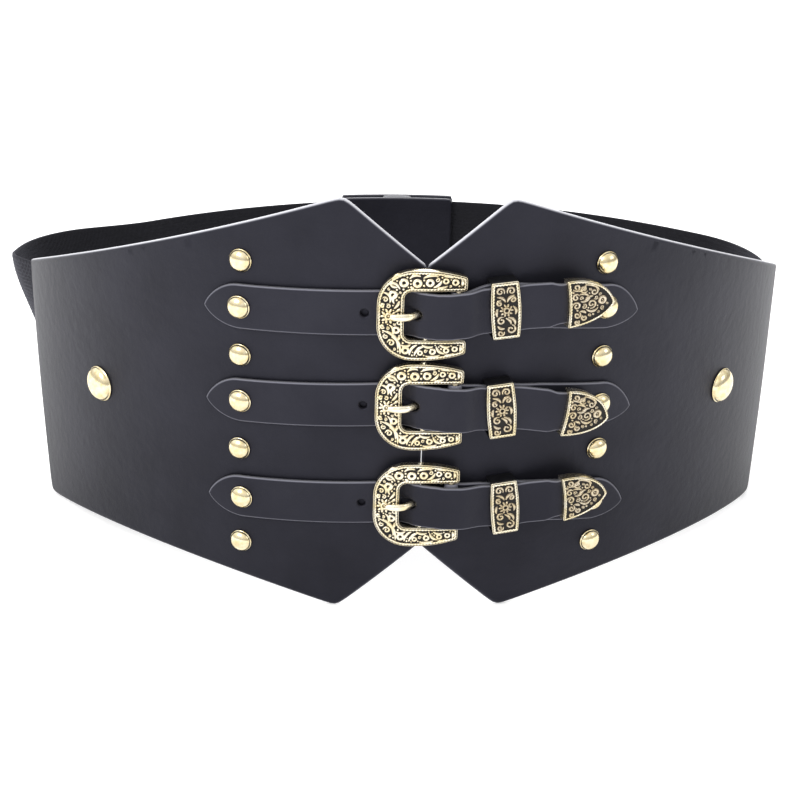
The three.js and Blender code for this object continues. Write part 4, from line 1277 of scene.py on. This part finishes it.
# Floor, light and camera
def make_floor():
    material = Look("floor").set(
        Base_Color=(0.9, 0.9, 0.9, 1), Roughness=0.9, Specular_IOR_Level=0.1,
        Emission_Color=(1, 1, 1, 1), Emission_Strength=FLOOR_GLOW,
    )
    mesh = bpy.data.meshes.new("floor")
    corners = [(x * FLOOR_REACH, y * FLOOR_REACH, 0) for x, y in ((-1, -1), (1, -1), (1, 1), (-1, 1))]
    mesh.from_pydata(corners, [], [(0, 1, 2, 3)])
    mesh.materials.append(material)
    floor = add_object("floor", mesh)
    floor.location.z = min(0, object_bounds()[0].z) - FLOOR_CLEAR


def make_area_light(name, place, size, power):
    light = bpy.data.lights.new(name, "AREA")
    light.shape = "RECTANGLE"
    light.size, light.size_y = size
    light.energy = power
    lamp = add_object(name, light)
    lamp.location = place
    lamp.rotation_euler = (LIGHT_TARGET - Vector(place)).to_track_quat("-Z", "Y").to_euler()


def make_camera():
    azimuth, elevation, roll = (math.radians(a) for a in (CAMERA_AZIMUTH, CAMERA_ELEVATION, CAMERA_ROLL))
    right = Vector((math.cos(azimuth), -math.sin(azimuth), 0))
    level = math.cos(elevation)
    ahead = Vector((math.sin(azimuth) * level, math.cos(azimuth) * level, -math.sin(elevation)))
    up = right.cross(ahead)
    turned_right = right * math.cos(roll) + up * math.sin(roll)
    turned_up = up * math.cos(roll) - right * math.sin(roll)
    camera = bpy.data.cameras.new("camera")
    camera.lens = CAMERA_LENS
    camera.sensor_width = 36
    holder = add_object("camera", camera)
    rotation = Matrix((turned_right, turned_up, -ahead)).transposed().to_4x4()
    place = Vector(ORIGIN + np.array(CAMERA_TARGET) * MM) - ahead * CAMERA_DISTANCE
    holder.matrix_world = Matrix.Translation(place) @ rotation
    bpy.context.scene.camera = holder


def make_world():
    """A white studio, dimmer near the horizon and towards the right."""
    world = bpy.data.worlds.new("studio")
    world.use_nodes = True
    nodes, links = world.node_tree.nodes, world.node_tree.links
    background = nodes["Background"]
    split = nodes.new("ShaderNodeSeparateXYZ")
    links.new(nodes.new("ShaderNodeTexCoord").outputs["Generated"], split.inputs[0])
    product = nodes.new("ShaderNodeMath")
    product.operation = "MULTIPLY"
    ranges = (("Z", 0.05, 0.5, *SKY_UP), ("X", 0.9, -0.9, *SKY_ACROSS))
    for i, (axis, *values) in enumerate(ranges):
        spread = nodes.new("ShaderNodeMapRange")
        links.new(split.outputs[axis], spread.inputs[0])
        for k, value in enumerate(values, 1):
            spread.inputs[k].default_value = value
        links.new(spread.outputs[0], product.inputs[i])
    links.new(product.outputs[0], background.inputs["Strength"])
    background.inputs["Color"].default_value = (1, 1, 1, 1)
    bpy.context.scene.world = world


make_floor()
make_world()
make_area_light("key", (-0.9, -0.9, 1.2), (0.8, 0.8), 9)
make_area_light("back", (0, 1.5, 0.95), (2.4, 0.8), 30)
make_area_light("fill", (1.2, -0.6, 0.8), (0.6, 0.6), 2)
make_camera()
bpy.context.scene.view_settings.view_transform = "Standard"
